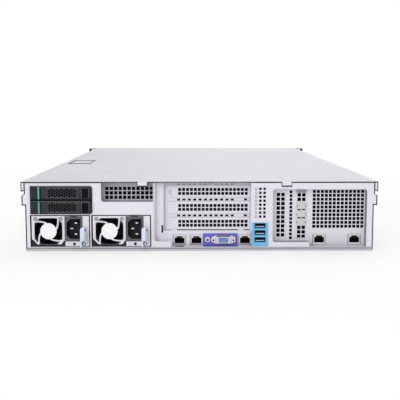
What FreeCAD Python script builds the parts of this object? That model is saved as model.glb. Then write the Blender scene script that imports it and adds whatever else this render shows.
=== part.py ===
import FreeCAD, Part
import math
import os
import Sketcher
from FreeCAD import Placement, Rotation, Vector

# Rack server, two units high, seen from behind at -Y; millimetres.
# Origin: middle of the pan's underside, X to the right, Y to the front, Z up.

SIZES = [
    # chassis shell
    ("depth", 780, "rear face to front edge of the pan"),
    ("sheet", 1.2, "chassis sheet thickness"),
    ("cover_sheet", 1.0, "cover sheet thickness"),
    ("cover_overhang", 5.0, "cover beyond the lower wall, each side"),
    ("skirt_height", 12.4, "cover skirt height"),
    ("ledge_out", 4.3, "side ledge beyond the lower wall"),
    ("neck_out", 1.2, "upper wall beyond the lower wall"),
    ("ledge_bottom", 57.5, "side ledge underside above the base"),
    ("ledge_height", 12.1, "side ledge height"),
    ("shoulder", 2.4, "slope above the side ledge"),
    ("lip_height", 4.8, "rear lip of the pan"),
    ("fit_gap", 0.2, "gap round fixed sheet parts"),
    # rear face, left to right
    ("side_margin", 5.1, "inner wall to first power supply"),
    ("psu_width", 73.5, "power supply width"),
    ("psu_gap", 2.9, "between power supplies"),
    ("post_width", 4.2, "second power supply to port recess"),
    ("io_width", 122.6, "port recess width"),
    ("usb_column", 26.3, "column between the recesses"),
    ("card_window", 46.7, "small card recess width"),
    ("lan_window", 71.5, "network recess width"),
    ("right_margin", 7.3, "network recess to inner wall"),
    # rear face, bottom to top
    ("psu_lift", 0.4, "power supply above the lip"),
    ("psu_height", 39.6, "power supply height"),
    ("psu_head", 0.6, "power supply to shelf"),
    ("cage_sheet", 1.2, "bay sheet thickness"),
    ("carrier_lift", 0.4, "carrier above its shelf"),
    ("carrier_height", 16.3, "rear carrier height"),
    ("carrier_gap", 1.9, "between rear carriers"),
    ("carrier_head", 0.6, "upper carrier to bay top"),
    ("lid_gap", 2.7, "bay top to cover"),
    ("panel_drop", 0.6, "rear panel top under the cover"),
    # recesses
    ("io_recess", 8.0, "port plate behind the rear face"),
    ("card_recess", 12.0, "card plates behind the rear face"),
    ("vent_recess", 20.0, "vent grille behind the rear face"),
    ("corner", 4.0, "rounding of recess corners"),
    ("vent_width", 65.7, "vent recess width"),
    ("vent_sill", 61.8, "vent recess sill height"),
    ("foot_width", 21.6, "foot of the left panel in the port recess"),
    ("foot_height", 11.8, "foot height"),
    ("card_sill", 10.5, "small card recess sill height"),
    ("card_head", 8.3, "recess top under the cover"),
    # vent grille
    ("vent_hole", 4.3, "vent hole side"),
    ("vent_pitch", 5.65, "vent hole pitch"),
    ("vent_columns", 11, "vent columns"),
    ("vent_rows", 3, "vent rows"),
    ("vent_inset", 3.1, "first vent column from the side"),
    ("vent_rise", 1.4, "first vent row above the sill"),
    # riser cards
    ("riser_inset", 12.0, "riser window from the recess side"),
    ("riser_sill", 24.2, "riser window sill height"),
    ("slot_pitch", 20.32, "card slot pitch"),
    ("slot_first", 32.9, "lowest card slot centre height"),
    ("slot_height", 15.4, "slot cover height"),
    ("slot_length", 104.0, "slot cover length"),
    ("slot_sheet", 1.0, "slot cover thickness"),
    ("slot_hole", 3.8, "slot cover hole side"),
    ("slot_hole_pitch", 4.95, "slot cover hole pitch"),
    ("slot_columns", 18, "slot cover hole columns"),
    ("slot_hole_inset", 15.0, "first slot hole from the cover end"),
    ("slot_open_height", 12.0, "card opening height"),
    ("strip_slot_width", 3.9, "strip slot width"),
    ("strip_slot_height", 2.0, "strip slot height"),
    ("strip_pitch", 6.8, "strip slot pitch"),
    ("strip_count", 11, "strip slots per row"),
    ("strip_first", 13.6, "first strip slot from the cover end"),
    ("strip_last", 5.7, "last strip slot from the other cover end"),
    ("riser_depth", 110.0, "riser cage depth"),
    ("top_strip_rise", 1.1, "top strip slots above the upper cover"),
    ("top_strip_height", 0.9, "top strip slot height"),
    ("stop_lug", 3.4, "stop lug width above the upper cover"),
    ("stop_lug_first", 53.6, "stop lug from the cover end"),
    ("sill_lug", 8.0, "lug width on the riser sill"),
    ("sill_lug_height", 2.0, "lug height on the riser sill"),
    ("sill_lug_first", 3.4, "first sill lug from the cover end"),
    ("sill_lug_last", 7.4, "last sill lug from the other cover end"),
    ("hook_slot", 1.2, "hook slot width beside the riser window"),
    ("hook_slot_inset", 2.6, "hook slot from the riser window"),
    ("hook_slot_low", 21.8, "hook slot underside height"),
    ("hook_slot_height", 9.2, "hook slot height"),
    ("foot_slot_low", 3.5, "slot under the first jack, height"),
    ("foot_slot_width", 10.5, "slot under the first jack, width"),
    ("foot_slot_height", 1.2, "slot under the first jack, opening"),
    # ports
    ("board_lift", 2.8, "board above the floor"),
    ("board_thickness", 1.8, "main board thickness"),
    ("jack_width", 16.4, "network jack width"),
    ("jack_height", 13.0, "network jack height"),
    ("jack_depth", 21.0, "network jack depth"),
    ("jack_proud", 0.6, "network jack in front of its plate"),
    ("jack_open_width", 12.6, "network jack opening width"),
    ("jack_open_height", 7.0, "network jack opening height"),
    ("jack_open_depth", 14.0, "network jack opening depth"),
    ("jack_open_rise", 2.2, "network jack opening above its base"),
    ("jack_key_width", 7.8, "network jack key width"),
    ("jack_key_height", 2.1, "network jack key height"),
    ("port_gap", 0.3, "gap round a port in its plate"),
    ("jack_first", 31.9, "first network jack centre"),
    ("jack_pitch", 21.5, "network jack pitch"),
    ("jack_third", 114.8, "third network jack centre"),
    ("lan_jack_first", 14.0, "fourth network jack centre"),
    ("lan_jack_pitch", 44.8, "fourth to fifth network jack"),
    ("video_left", 61.9, "video plate from the recess side"),
    ("video_width", 43.6, "video plate width"),
    ("video_top", 20.7, "video plate top height"),
    ("video_bottom", 3.3, "video plate bottom height"),
    ("plate_thin", 0.8, "colour plate thickness"),
    ("video_centre", 25.5, "video socket from the plate side"),
    ("video_height", 12.7, "video socket height"),
    ("shell_width", 17.8, "video shell width"),
    ("shell_height", 8.8, "video shell height"),
    ("shell_out", 6.0, "video shell in front of its plate"),
    ("shell_wall", 0.6, "video shell wall"),
    ("shell_lean", 1.6, "video shell side lean"),
    ("insert_back", 1.0, "video insert behind the shell edge"),
    ("flange_width", 30.0, "video flange width"),
    ("flange_height", 10.6, "video flange height"),
    ("flange_end", 5.6, "video flange height at its ends"),
    ("flange_shoulder", 9.8, "video flange full height each side of the middle"),
    ("post_pitch", 25.0, "video jack post pitch"),
    ("post_radius", 2.75, "video jack post to its corners"),
    ("post_out", 5.2, "video jack post length"),
    ("thread_radius", 1.3, "video jack post bore radius"),
    ("button_centre", 5.5, "locator button from the plate side"),
    ("button_radius", 2.6, "locator button radius"),
    ("button_gap", 0.3, "gap round a button"),
    ("button_out", 1.4, "locator button in front of its plate"),
    ("button_length", 6.0, "locator button length"),
    ("usb_plate_width", 20.4, "socket plate width"),
    ("usb_plate_height", 30.2, "socket plate height"),
    ("usb_plate_rise", 0.6, "socket plate above the lip"),
    ("usb_first", 13.9, "lowest socket centre height"),
    ("usb_pitch", 8.85, "socket pitch"),
    ("usb_count", 3, "sockets in the stack"),
    ("usb_width", 13.4, "socket shell width"),
    ("usb_height", 5.9, "socket shell height"),
    ("usb_wall", 0.4, "socket shell wall"),
    ("usb_depth", 16.0, "socket shell depth"),
    ("usb_tongue", 1.6, "socket tongue thickness"),
    ("usb_drop", 1.9, "socket tongue underside below the centre"),
    ("usb_back", 2.0, "socket tongue behind the shell edge"),
    ("usb_vent_hole", 3.1, "column vent hole side"),
    ("usb_vent_pitch_across", 5.25, "column vent pitch across"),
    ("usb_vent_pitch_up", 5.0, "column vent pitch up"),
    ("usb_vent_columns", 3, "column vent columns"),
    ("usb_vent_rows", 8, "column vent rows"),
    ("usb_vent_first", 43.1, "lowest column vent row height"),
    # right recess
    ("lan_hole", 3.9, "network grille hole side"),
    ("lan_pitch_across", 5.1, "network grille pitch across"),
    ("lan_pitch_up", 4.95, "network grille pitch up"),
    ("lan_columns", 13, "network grille columns"),
    ("lan_rows", 10, "network grille rows"),
    ("lan_hole_inset", 7.0, "first grille column from the post"),
    ("lan_hole_rise", 28.8, "lowest grille row height"),
    ("bracket_width", 13.4, "small card bracket width"),
    ("bracket_height", 63.0, "small card bracket height"),
    ("bracket_rise", 2.6, "small card bracket above the sill"),
    ("bracket_first", 4.3, "first bracket from the recess side"),
    ("bracket_pitch", 26.4, "small card bracket pitch"),
    ("bracket_sheet", 1.0, "small card bracket thickness"),
    ("bracket_hole", 4.5, "bracket hole side"),
    ("bracket_hole_across", 5.75, "bracket hole pitch across"),
    ("bracket_hole_up", 5.72, "bracket hole pitch up"),
    ("bracket_rows", 10, "bracket hole rows"),
    ("bracket_hole_rise", 5.0, "lowest bracket hole row above its end"),
    ("divider_hole", 3.6, "divider hole side"),
    ("divider_pitch", 4.9, "divider hole pitch"),
    ("divider_rows", 13, "divider holes"),
    ("divider_rise", 3.6, "lowest divider hole above the sill"),
    ("plug_hole_rise", 3.0, "lowest hole row of the plug bracket above its end"),
    ("plug_height", 8.6, "port plug height"),
    ("plug_pitch", 10.4, "port plug pitch"),
    ("plug_slot", 1.2, "slot height between port plugs"),
    ("plug_hole_head", 1.8, "first hole row above the port plugs"),
    ("plug_first", 17.4, "lowest port plug above the bracket end"),
    ("plug_count", 3, "port plugs"),
    ("plug_proud", 1.0, "port plug in front of its bracket"),
    # power supplies
    ("psu_depth", 185.0, "power supply depth"),
    ("psu_wall", 1.0, "power supply case wall"),
    ("bay_gap", 0.4, "gap round a power supply or carrier in its bay"),
    ("bay_reveal", 0.7, "panel opening beyond a power supply"),
    ("cage_depth", 200.0, "power supply bay depth"),
    ("drive_bay_depth", 124.0, "rear drive bay depth"),
    ("fan_centre", 22.0, "power supply fan from the case side"),
    ("hub_radius", 10.2, "guard disc radius"),
    ("guard_width", 34.8, "guard opening width"),
    ("guard_height", 33.2, "guard opening height"),
    ("guard_cut", 39.0, "guard opening across its corners"),
    ("arm_offset", 17.3, "guard arm arc centre to the left"),
    ("arm_rise", 13.5, "guard arm arc centre above"),
    ("arm_radius", 28.6, "guard arm arc radius"),
    ("arm_width", 1.9, "guard arm width"),
    ("fan_frame_width", 38.0, "power supply fan frame width"),
    ("fan_frame_depth", 28.0, "power supply fan frame depth"),
    ("fan_bore", 17.9, "power supply fan bore radius"),
    ("psu_rotor_hub", 9.4, "power supply rotor hub radius"),
    ("psu_rotor_tip", 16.2, "power supply rotor blade reach"),
    ("psu_rotor_length", 18.0, "power supply rotor length"),
    ("psu_blade_chord", 11.0, "power supply blade across the hub"),
    ("blade_thickness", 1.4, "fan blade thickness"),
    ("psu_blade_count", 7, "power supply blades"),
    ("rotor_gap", 0.4, "rotor to motor mount"),
    ("motor_depth", 4.0, "motor mount depth"),
    ("spider_width", 2.4, "motor mount arm width"),
    ("spindle_radius", 1.2, "fan spindle radius"),
    ("spindle_gap", 0.3, "gap round a fan spindle"),
    ("inlet_left", 42.5, "inlet block from the case side"),
    ("inlet_width", 22.0, "inlet block width"),
    ("inlet_rise", 7.1, "inlet block above the case base"),
    ("inlet_height", 31.2, "inlet block height"),
    ("inlet_depth", 22.0, "inlet block depth"),
    ("inlet_proud", 0.8, "inlet block in front of the case"),
    ("inlet_wall", 2.3, "inlet block wall at the sides"),
    ("inlet_cap", 2.9, "inlet block wall above and below"),
    ("inlet_cavity", 16.0, "inlet cavity depth"),
    ("inlet_chamfer", 4.6, "inlet cavity corner cut"),
    ("pin_long", 4.0, "inlet pin width"),
    ("pin_short", 2.0, "inlet pin thickness"),
    ("pin_back", 3.5, "inlet pin end behind the block face"),
    ("pin_spread", 7.0, "line pins above and below the middle"),
    ("pin_earth", 6.2, "earth pin from the cavity side"),
    ("pin_line", 11.2, "line pins from the cavity side"),
    ("latch_left", 62.6, "latch from the case side"),
    ("latch_width", 8.0, "latch width"),
    ("latch_rise", 1.0, "latch above the case base"),
    ("latch_height", 24.2, "latch height"),
    ("latch_thickness", 7.0, "latch grip depth"),
    ("latch_base", 2.2, "latch base thickness"),
    ("grip_width", 5.2, "latch grip width"),
    ("grip_clear", 1.4, "latch grip above the pivot head"),
    ("latch_gap", 0.4, "latch in front of the inlet block"),
    ("latch_round", 3.0, "latch corner rounding"),
    ("pivot_left", 67.0, "latch pivot from the case side"),
    ("pivot_rise", 4.4, "latch pivot above the case base"),
    ("pivot_radius", 1.3, "latch pivot radius"),
    ("pivot_gap", 0.3, "gap round the latch pivot"),
    ("pivot_head", 2.4, "latch pivot head radius"),
    ("pivot_head_depth", 1.2, "latch pivot head thickness"),
    ("lamp_left", 54.2, "status hole from the case side"),
    ("lamp_rise", 3.5, "status hole above the case base"),
    ("lamp_radius", 1.9, "status hole radius"),
    # rear drive carriers
    ("carrier_width", 76.8, "rear carrier width"),
    ("carrier_margin", 5.4, "inner wall to rear carrier"),
    ("carrier_proud", 2.0, "rear carrier in front of the rear face"),
    ("bezel_depth", 14.0, "rear carrier bezel depth"),
    ("bezel_round", 3.0, "rear carrier bezel rounding"),
    ("rim", 1.2, "bezel rim above and below the lever"),
    ("strip_left", 9.8, "light strip from the carrier side"),
    ("strip_width", 1.7, "light strip width"),
    ("strip_depth", 1.0, "light strip depth"),
    ("lever_left", 13.8, "lever from the carrier side"),
    ("lever_length", 48.0, "lever length"),
    ("lever_thickness", 3.0, "lever thickness"),
    ("lever_gap", 0.3, "gap round the lever"),
    ("lever_well", 6.4, "depth of the lever well"),
    ("lever_swing", 0.9, "room behind the lever's hinge end"),
    ("lever_pin", 0.8, "lever pin radius"),
    ("lever_pin_inset", 2.0, "lever pin from the lever end"),
    ("hex_radius", 1.3, "lever hole to its corners"),
    ("hex_column", 3.14, "lever hole column pitch"),
    ("hex_pitch", 3.46, "lever hole pitch up"),
    ("hex_columns", 6, "every second lever hole column"),
    ("hex_rows", 3, "lever holes in a column"),
    ("hex_inset", 10.2, "first lever hole from the lever end"),
    ("hex_foot", 2.3, "first lever row above the lever edge"),
    ("key_left", 63.6, "release button from the carrier side"),
    ("key_width", 9.8, "release button width"),
    ("key_depth", 6.0, "release button depth"),
    ("key_proud", 0.4, "release button in front of the bezel"),
    ("key_travel", 1.5, "release button travel"),
    ("rail_thickness", 1.6, "carrier rail thickness"),
    ("rail_inset", 1.6, "carrier rail from the carrier side"),
    ("rail_length", 104.0, "carrier rail length"),
    ("small_drive_length", 100.2, "small drive length"),
    ("small_drive_height", 14.6, "small drive height"),
    # front drive bays
    ("front_cage_depth", 162.0, "front bay depth"),
    ("front_columns", 4, "front bay columns"),
    ("front_rows", 3, "front bay rows"),
    ("front_wall", 1.2, "front bay wall"),
    ("front_gap", 0.4, "gap round a front carrier"),
    ("front_side", 1.0, "front bays to the inner wall"),
    ("front_head", 1.6, "front bays to the cover"),
    ("front_bezel", 19.0, "front carrier bezel depth"),
    ("front_seat", 0.5, "front bezel to the bay edge"),
    ("front_rail", 1.8, "front carrier rail thickness"),
    ("front_tray", 150.0, "front carrier rail length"),
    ("front_well", 3.0, "front bezel well depth"),
    ("front_well_inset", 8.0, "front bezel well from the side"),
    ("front_well_rim", 3.4, "front bezel well rim"),
    ("front_key", 14.0, "front bezel solid end"),
    ("front_slot", 11.0, "front bezel slot width"),
    ("front_slot_pitch", 14.0, "front bezel slot pitch"),
    ("front_slots", 5, "front bezel slots"),
    ("front_slot_inset", 5.0, "first front slot from the well side"),
    ("front_slot_rim", 2.6, "front slot from the well rim"),
    ("big_drive_length", 147.0, "large drive length"),
    ("drive_gap", 0.2, "gap beside a drive"),
    # ears
    ("rack_span", 482.6, "width over the ears"),
    ("rack_pitch", 465.1, "rack hole pitch across"),
    ("rack_rise", 76.2, "rack hole pitch up"),
    ("rack_hole", 3.4, "rack hole radius"),
    ("ear_sheet", 2.5, "ear flange thickness"),
    ("ear_ahead", 4.0, "ear flange ahead of the pan"),
    ("ear_arm", 1.6, "ear arm thickness"),
    ("ear_arm_length", 70.0, "ear arm length"),
    ("ear_arm_rise", 6.0, "ear arm above the base"),
    ("ear_arm_height", 46.0, "ear arm height"),
    ("ear_block", 8.4, "ear block width"),
    ("ear_block_depth", 15.5, "ear block depth"),
    ("ear_drop", 1.0, "ear ends from top and base"),
    ("power_radius", 2.4, "power button radius"),
    ("power_rise", 60.0, "power button height"),
    ("power_length", 6.0, "power button length"),
    ("power_out", 1.4, "power button in front of its block"),
    ("power_well", 7.0, "power button well depth"),
    # cover and its latch
    ("tab_width", 11.4, "rear tab width"),
    ("tab_left", 145.6, "first tab from the left cover edge"),
    ("tab_right", 325.8, "second tab from the left cover edge"),
    ("tab_drop", 4.6, "rear tab length"),
    ("tab_gap", 0.4, "rear tab in front of the rear face"),
    ("well_left", 12.0, "latch well from the left cover edge"),
    ("well_width", 32.0, "latch well width"),
    ("well_start", 309.0, "latch well from the rear face"),
    ("well_length", 70.0, "latch well length"),
    ("well_depth", 10.0, "latch well depth"),
    ("handle_gap", 0.8, "gap round the cover lever"),
    ("handle_thickness", 3.0, "cover lever thickness"),
    ("handle_sink", 0.3, "cover lever under the cover top"),
    ("handle_end", 9.0, "cover lever finger gap"),
    ("handle_pin", 1.1, "cover lever pin radius"),
    ("handle_pin_gap", 0.3, "gap round the cover lever pin"),
    ("handle_pin_inset", 3.0, "cover lever pin from the lever end"),
    # inside
    ("fan_wall_start", 455.0, "fan wall from the rear face"),
    ("fan_wall_depth", 38.0, "fan wall depth"),
    ("fan_count", 4, "chassis fans"),
    ("fan_pitch", 105.0, "chassis fan pitch"),
    ("fan_radius", 38.0, "chassis fan bore radius"),
    ("fan_motor", 16.6, "chassis fan motor radius"),
    ("fan_hub", 17.0, "chassis fan hub radius"),
    ("fan_tip", 35.0, "chassis fan blade reach"),
    ("fan_length", 28.0, "chassis fan hub length"),
    ("fan_chord", 17.0, "chassis fan blade across the hub"),
    ("fan_blades", 5, "chassis fan blades"),
    ("board_start", 16.0, "main board from the rear face"),
    ("board_wide", 212.0, "main board wide part from the rear face"),
    ("board_end", 445.0, "main board end from the rear face"),
    ("board_side", 2.5, "main board to the inner wall"),
    ("standoff", 3.0, "board standoff to its corners"),
    ("cpu_width", 92.0, "cooler width"),
    ("cpu_length", 90.0, "cooler length"),
    ("cpu_height", 60.0, "cooler height"),
    ("cpu_base", 8.0, "cooler base thickness"),
    ("cpu_fin", 1.2, "cooler fin thickness"),
    ("cpu_fins", 14, "cooler fins"),
    ("cpu_spread", 107.0, "coolers from the middle"),
    ("cpu_start", 280.0, "coolers from the rear face"),
    ("memory_length", 133.4, "memory module length"),
    ("memory_height", 31.0, "memory module height"),
    ("memory_thickness", 4.0, "memory module thickness"),
    ("memory_count", 6, "memory modules on each side of a cooler"),
    ("memory_pitch", 8.2, "memory module pitch"),
    ("memory_first", 5.5, "first memory module from the cooler"),
    ("memory_start", 258.0, "memory from the rear face"),
    ("plane_thickness", 2.0, "drive board thickness"),
    ("plane_gap", 0.5, "drive board behind its bay"),
    ("plug_space", 0.8, "drive or power supply to its plug"),
    ("riser_board", 1.8, "riser board thickness"),
    ("riser_board_start", 30.0, "riser board from the rear face"),
    ("riser_board_length", 76.0, "riser board length"),
]


class Size:
    """A number together with the sheet expression that gives it."""

    def __init__(self, value, text):
        self.value = float(value)
        self.text = text

    def __add__(self, other):
        other = as_size(other)
        return Size(self.value + other.value, f"({self.text} + {other.text})")

    def __sub__(self, other):
        other = as_size(other)
        return Size(self.value - other.value, f"({self.text} - {other.text})")

    def __mul__(self, other):
        other = as_size(other)
        return Size(self.value * other.value, f"({self.text} * {other.text})")

    def __truediv__(self, other):
        other = as_size(other)
        return Size(self.value / other.value, f"({self.text} / {other.text})")

    def __radd__(self, other):
        return as_size(other) + self

    def __rsub__(self, other):
        return as_size(other) - self

    def __rmul__(self, other):
        return as_size(other) * self

    def __neg__(self):
        return Size(-self.value, f"(-{self.text})")


def as_size(number):
    """Any plain number as a Size."""
    if isinstance(number, Size):
        return number
    return Size(number, f"({number})")


class Names:
    """Sizes of the sheet by name."""


doc = FreeCAD.newDocument("rack_server")
sheet = doc.addObject("Spreadsheet::Sheet", "Dims")
s = Names()
for row, (name, value, note) in enumerate(SIZES, start=1):
    sheet.set(f"A{row}", note)
    sheet.set(f"B{row}", str(value))
    sheet.setAlias(f"B{row}", name)
    setattr(s, name, Size(value, f"Dims.{name}"))
doc.recompute()

nodes = []

# Sides of round forms that are small or out of sight
ROUND = 12
SHAFT = 8
RING = 24


# Binding and plain solids

def bind(obj, path, size):
    """Tie one property to the sheet."""
    obj.setExpression(path, as_size(size).text)


def place(obj, x, y, z):
    """Tie an object's position to the sheet."""
    bind(obj, "Placement.Base.x", x)
    bind(obj, "Placement.Base.y", y)
    bind(obj, "Placement.Base.z", z)


def span(pair):
    """Length of a from-to pair."""
    return as_size(pair[1]) - as_size(pair[0])


def box(name, xs, ys, zs):
    """Block given by its from-to pairs."""
    obj = doc.addObject("Part::Box", name)
    bind(obj, "Length", span(xs))
    bind(obj, "Width", span(ys))
    bind(obj, "Height", span(zs))
    place(obj, xs[0], ys[0], zs[0])
    return obj


TURNS = {
    "x": Rotation(Vector(0, 1, 0), 90),
    "y": Rotation(Vector(1, 0, 0), -90),
    "z": Rotation(),
}


def cylinder(name, axis, start, radius, length):
    """Round bar from a start point along an axis."""
    obj = doc.addObject("Part::Cylinder", name)
    obj.Placement = Placement(Vector(), TURNS[axis])
    bind(obj, "Radius", radius)
    bind(obj, "Height", length)
    place(obj, *start)
    return obj


def prism(name, axis, start, radius, length, sides):
    """Many-sided bar; radius is to its corners."""
    obj = doc.addObject("Part::Prism", name)
    obj.Polygon = sides
    obj.Placement = Placement(Vector(), TURNS[axis])
    bind(obj, "Circumradius", radius)
    bind(obj, "Height", length)
    place(obj, *start)
    return obj


def around(radius, sides):
    """Corner radius of a many-sided hole that clears a round bar."""
    return radius / math.cos(math.pi / sides)


def fuse(name, shapes):
    """Several overlapping solids as one."""
    obj = doc.addObject("Part::MultiFuse", name)
    obj.Shapes = shapes
    obj.Refine = True
    return obj


def cut(name, base, tools):
    """A solid less one or more tools."""
    tool = tools[0]
    if len(tools) > 1:
        tool = fuse(name + "_tools", tools)
    obj = doc.addObject("Part::Cut", name)
    obj.Base = base
    obj.Tool = tool
    obj.Refine = True
    return obj


def group(name, links, x=0, y=0, z=0):
    """Separate solids kept together, moved as one."""
    obj = doc.addObject("Part::Compound", name)
    obj.Links = links
    place(obj, x, y, z)
    return obj


def node(label, obj):
    """Hand a finished piece over under its own name."""
    obj.Label = label
    nodes.append((label, obj))
    return obj


# Sketches and bodies

def new_body(name):
    """Empty body."""
    return doc.addObject("PartDesign::Body", name)


def origin_part(body, role):
    """Origin plane or axis of a body."""
    return next(item for item in body.Origin.OriginFeatures if item.Role == role)


def sketch_on(body, role, offset):
    """Sketch on an origin plane, moved along that plane's normal."""
    sk = body.newObject("Sketcher::SketchObject", body.Name + "_sketch")
    sk.AttachmentSupport = (origin_part(body, role), [""])
    sk.MapMode = "FlatFace"
    bind(sk, "AttachmentOffset.Base.z", offset)
    return sk


def rear_sketch(body, y):
    """Sketch seen from behind at depth y: right is +X, up is +Z."""
    return sketch_on(body, "XZ_Plane", -as_size(y))


def fix(sk, kind, geo, pos, size):
    """Hold one coordinate of a sketch point at a size."""
    if abs(size.value) < 1e-9:
        axis = -2 if kind == "DistanceX" else -1
        sk.addConstraint(Sketcher.Constraint("PointOnObject", geo, pos, axis))
        return
    index = sk.addConstraint(Sketcher.Constraint(kind, -1, 1, geo, pos, size.value))
    label = f"{kind}_{geo}_{pos}"
    sk.renameConstraint(index, label)
    sk.setExpression(f"Constraints.{label}", size.text)


def sign(number):
    """Direction of a number, zero if it is nearly nothing."""
    if abs(number) < 1e-9:
        return 0
    return 1 if number > 0 else -1


def shift(size, step, direction):
    """Size moved by a step, or left as it is."""
    if direction == 0:
        return size
    return size + step * direction


def outline(sk, corners):
    """Closed outline; a third value rounds a square corner."""
    points = [(as_size(c[0]), as_size(c[1])) for c in corners]
    marks = []
    for i, corner in enumerate(corners):
        x, y = points[i]
        if len(corner) == 2:
            marks.append((x, y, None))
            continue
        radius = as_size(corner[2])
        before = points[i - 1]
        after = points[(i + 1) % len(points)]
        back = (sign(before[0].value - x.value), sign(before[1].value - y.value))
        ahead = (sign(after[0].value - x.value), sign(after[1].value - y.value))
        left_turn = (-back[0] * ahead[1] + back[1] * ahead[0]) > 0
        start = (shift(x, radius, back[0]), shift(y, radius, back[1]))
        end = (shift(x, radius, ahead[0]), shift(y, radius, ahead[1]))
        middle = (shift(start[0], radius, ahead[0]), shift(start[1], radius, ahead[1]))
        marks.append((start[0], start[1], (middle, radius, left_turn)))
        marks.append((end[0], end[1], None))
    first = sk.GeometryCount
    ends = []
    for i, (x, y, arc) in enumerate(marks):
        nx, ny, _ = marks[(i + 1) % len(marks)]
        if arc is None:
            line = Part.LineSegment(Vector(x.value, y.value, 0), Vector(nx.value, ny.value, 0))
            sk.addGeometry(line, False)
            ends.append((1, 2))
            continue
        middle, radius, left_turn = arc
        cx, cy = middle[0].value, middle[1].value
        a = math.atan2(y.value - cy, x.value - cx)
        b = math.atan2(ny.value - cy, nx.value - cx)
        if not left_turn:
            a, b = b, a
        if b < a:
            b += 2 * math.pi
        ring = Part.Circle(Vector(cx, cy, 0), Vector(0, 0, 1), radius.value)
        sk.addGeometry(Part.ArcOfCircle(ring, a, b), False)
        ends.append((1, 2) if left_turn else (2, 1))
    for i, (x, y, arc) in enumerate(marks):
        j = (i + 1) % len(marks)
        sk.addConstraint(Sketcher.Constraint("Coincident", first + i, ends[i][1], first + j, ends[j][0]))
        fix(sk, "DistanceX", first + i, ends[i][0], x)
        fix(sk, "DistanceY", first + i, ends[i][0], y)
        if arc is not None:
            index = sk.addConstraint(Sketcher.Constraint("Radius", first + i, arc[1].value))
            label = f"Radius_{first + i}"
            sk.renameConstraint(index, label)
            sk.setExpression(f"Constraints.{label}", arc[1].text)


def rectangle(sk, xs, ys):
    """Rectangle given by its from-to pairs."""
    outline(sk, [(xs[0], ys[0]), (xs[1], ys[0]), (xs[1], ys[1]), (xs[0], ys[1])])


def circle(sk, x, y, radius):
    """Circle about a point."""
    x, y, radius = as_size(x), as_size(y), as_size(radius)
    geo = sk.addGeometry(Part.Circle(Vector(x.value, y.value, 0), Vector(0, 0, 1), radius.value), False)
    fix(sk, "DistanceX", geo, 3, x)
    fix(sk, "DistanceY", geo, 3, y)
    index = sk.addConstraint(Sketcher.Constraint("Radius", geo, radius.value))
    label = f"Radius_{geo}"
    sk.renameConstraint(index, label)
    sk.setExpression(f"Constraints.{label}", radius.text)


def polygon(sk, x, y, radius, sides):
    """Regular outline with its corners on a circle, the first one to the right."""
    corners = []
    for i in range(sides):
        angle = 2 * math.pi * i / sides
        corners.append((x + radius * round(math.cos(angle), 6), y + radius * round(math.sin(angle), 6)))
    outline(sk, corners)


def pad(body, sk, length, against=True):
    """Grow a sketch; against the plane's normal unless told otherwise."""
    feature = body.newObject("PartDesign::Pad", body.Name + "_pad")
    feature.Profile = sk
    feature.Reversed = against
    bind(feature, "Length", length)
    return feature


def pocket(body, sk, length):
    """Cut a sketch into the body, against the plane's normal."""
    feature = body.newObject("PartDesign::Pocket", body.Name + "_pocket")
    feature.Profile = sk
    bind(feature, "Length", length)
    return feature


def row(body, feature, sk, axis, count, pitch):
    """Repeat a feature in one direction."""
    pattern = body.newObject("PartDesign::LinearPattern", body.Name + "_row")
    pattern.Originals = [feature]
    pattern.Direction = (sk, [axis])
    pattern.Mode = "Spacing"
    bind(pattern, "Offset", pitch)
    bind(pattern, "Occurrences", count)
    body.Tip = pattern
    return pattern


def field(body, feature, sk, across, pitch_across, up, pitch_up):
    """Repeat a feature over columns and rows."""
    pattern = row(body, feature, sk, "H_Axis", across, pitch_across)
    pattern.Direction2 = (sk, ["V_Axis"])
    pattern.Mode2 = "Spacing"
    pattern.Occurrences2 = int(up.value)
    pattern.Spacings2 = [-1.0] * (int(up.value) - 1)
    bind(pattern, "Offset2", pitch_up)
    bind(pattern, "Occurrences2", up)
    return pattern


def hole_field(body, y, depth, centre, side, across, pitch_across, up, pitch_up):
    """Square holes in a plate seen from behind; centre is the first hole's."""
    sk = rear_sketch(body, y)
    half = as_size(side) / 2
    rectangle(sk, (centre[0] - half, centre[0] + half), (centre[1] - half, centre[1] + half))
    first = pocket(body, sk, depth)
    return field(body, first, sk, across, pitch_across, up, pitch_up)


# Reference lines shared by the pieces

inner_width = (s.side_margin + s.psu_width * 2 + s.psu_gap + s.post_width + s.io_width
               + s.usb_column + s.card_window + s.lan_window + s.right_margin)
left = -inner_width / 2
right = inner_width / 2
wall = right + s.sheet
rear = -s.depth / 2
front = s.depth / 2
psu_x = [left + s.side_margin, left + s.side_margin + s.psu_width + s.psu_gap]
io_left = psu_x[1] + s.psu_width + s.post_width
io_right = io_left + s.io_width
card_left = io_right + s.usb_column
card_right = card_left + s.card_window
lan_right = card_right + s.lan_window
psu_z = s.lip_height + s.psu_lift
psu_top = psu_z + s.psu_height
shelf = psu_top + s.psu_head
carrier_z = [shelf + s.cage_sheet + s.carrier_lift]
carrier_z.append(carrier_z[0] + s.carrier_height + s.carrier_gap)
bay_top = carrier_z[1] + s.carrier_height + s.carrier_head
lid = bay_top + s.cage_sheet + s.lid_gap
height = lid + s.cover_sheet
panel_top = lid - s.panel_drop
panel_back = rear + s.sheet
carrier_x = left + s.carrier_margin
board_z = s.sheet + s.board_lift
board_top = board_z + s.board_thickness
window_top = lid - s.card_head
ledge_top = s.ledge_bottom + s.ledge_height
vent_left = io_left - s.vent_width


def side_profile(inset, sign_x):
    """Upper side contour of the shell, from the ledge up, at an inset."""
    low = s.ledge_bottom + inset
    return [
        ((wall - inset) * sign_x, low),
        ((wall + s.ledge_out - inset) * sign_x, low),
        ((wall + s.ledge_out - inset) * sign_x, ledge_top),
        ((wall + s.neck_out - inset) * sign_x, ledge_top + s.shoulder),
    ]


# Chassis pan: floor sheet, rear lip and two stepped side walls welded to it

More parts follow.
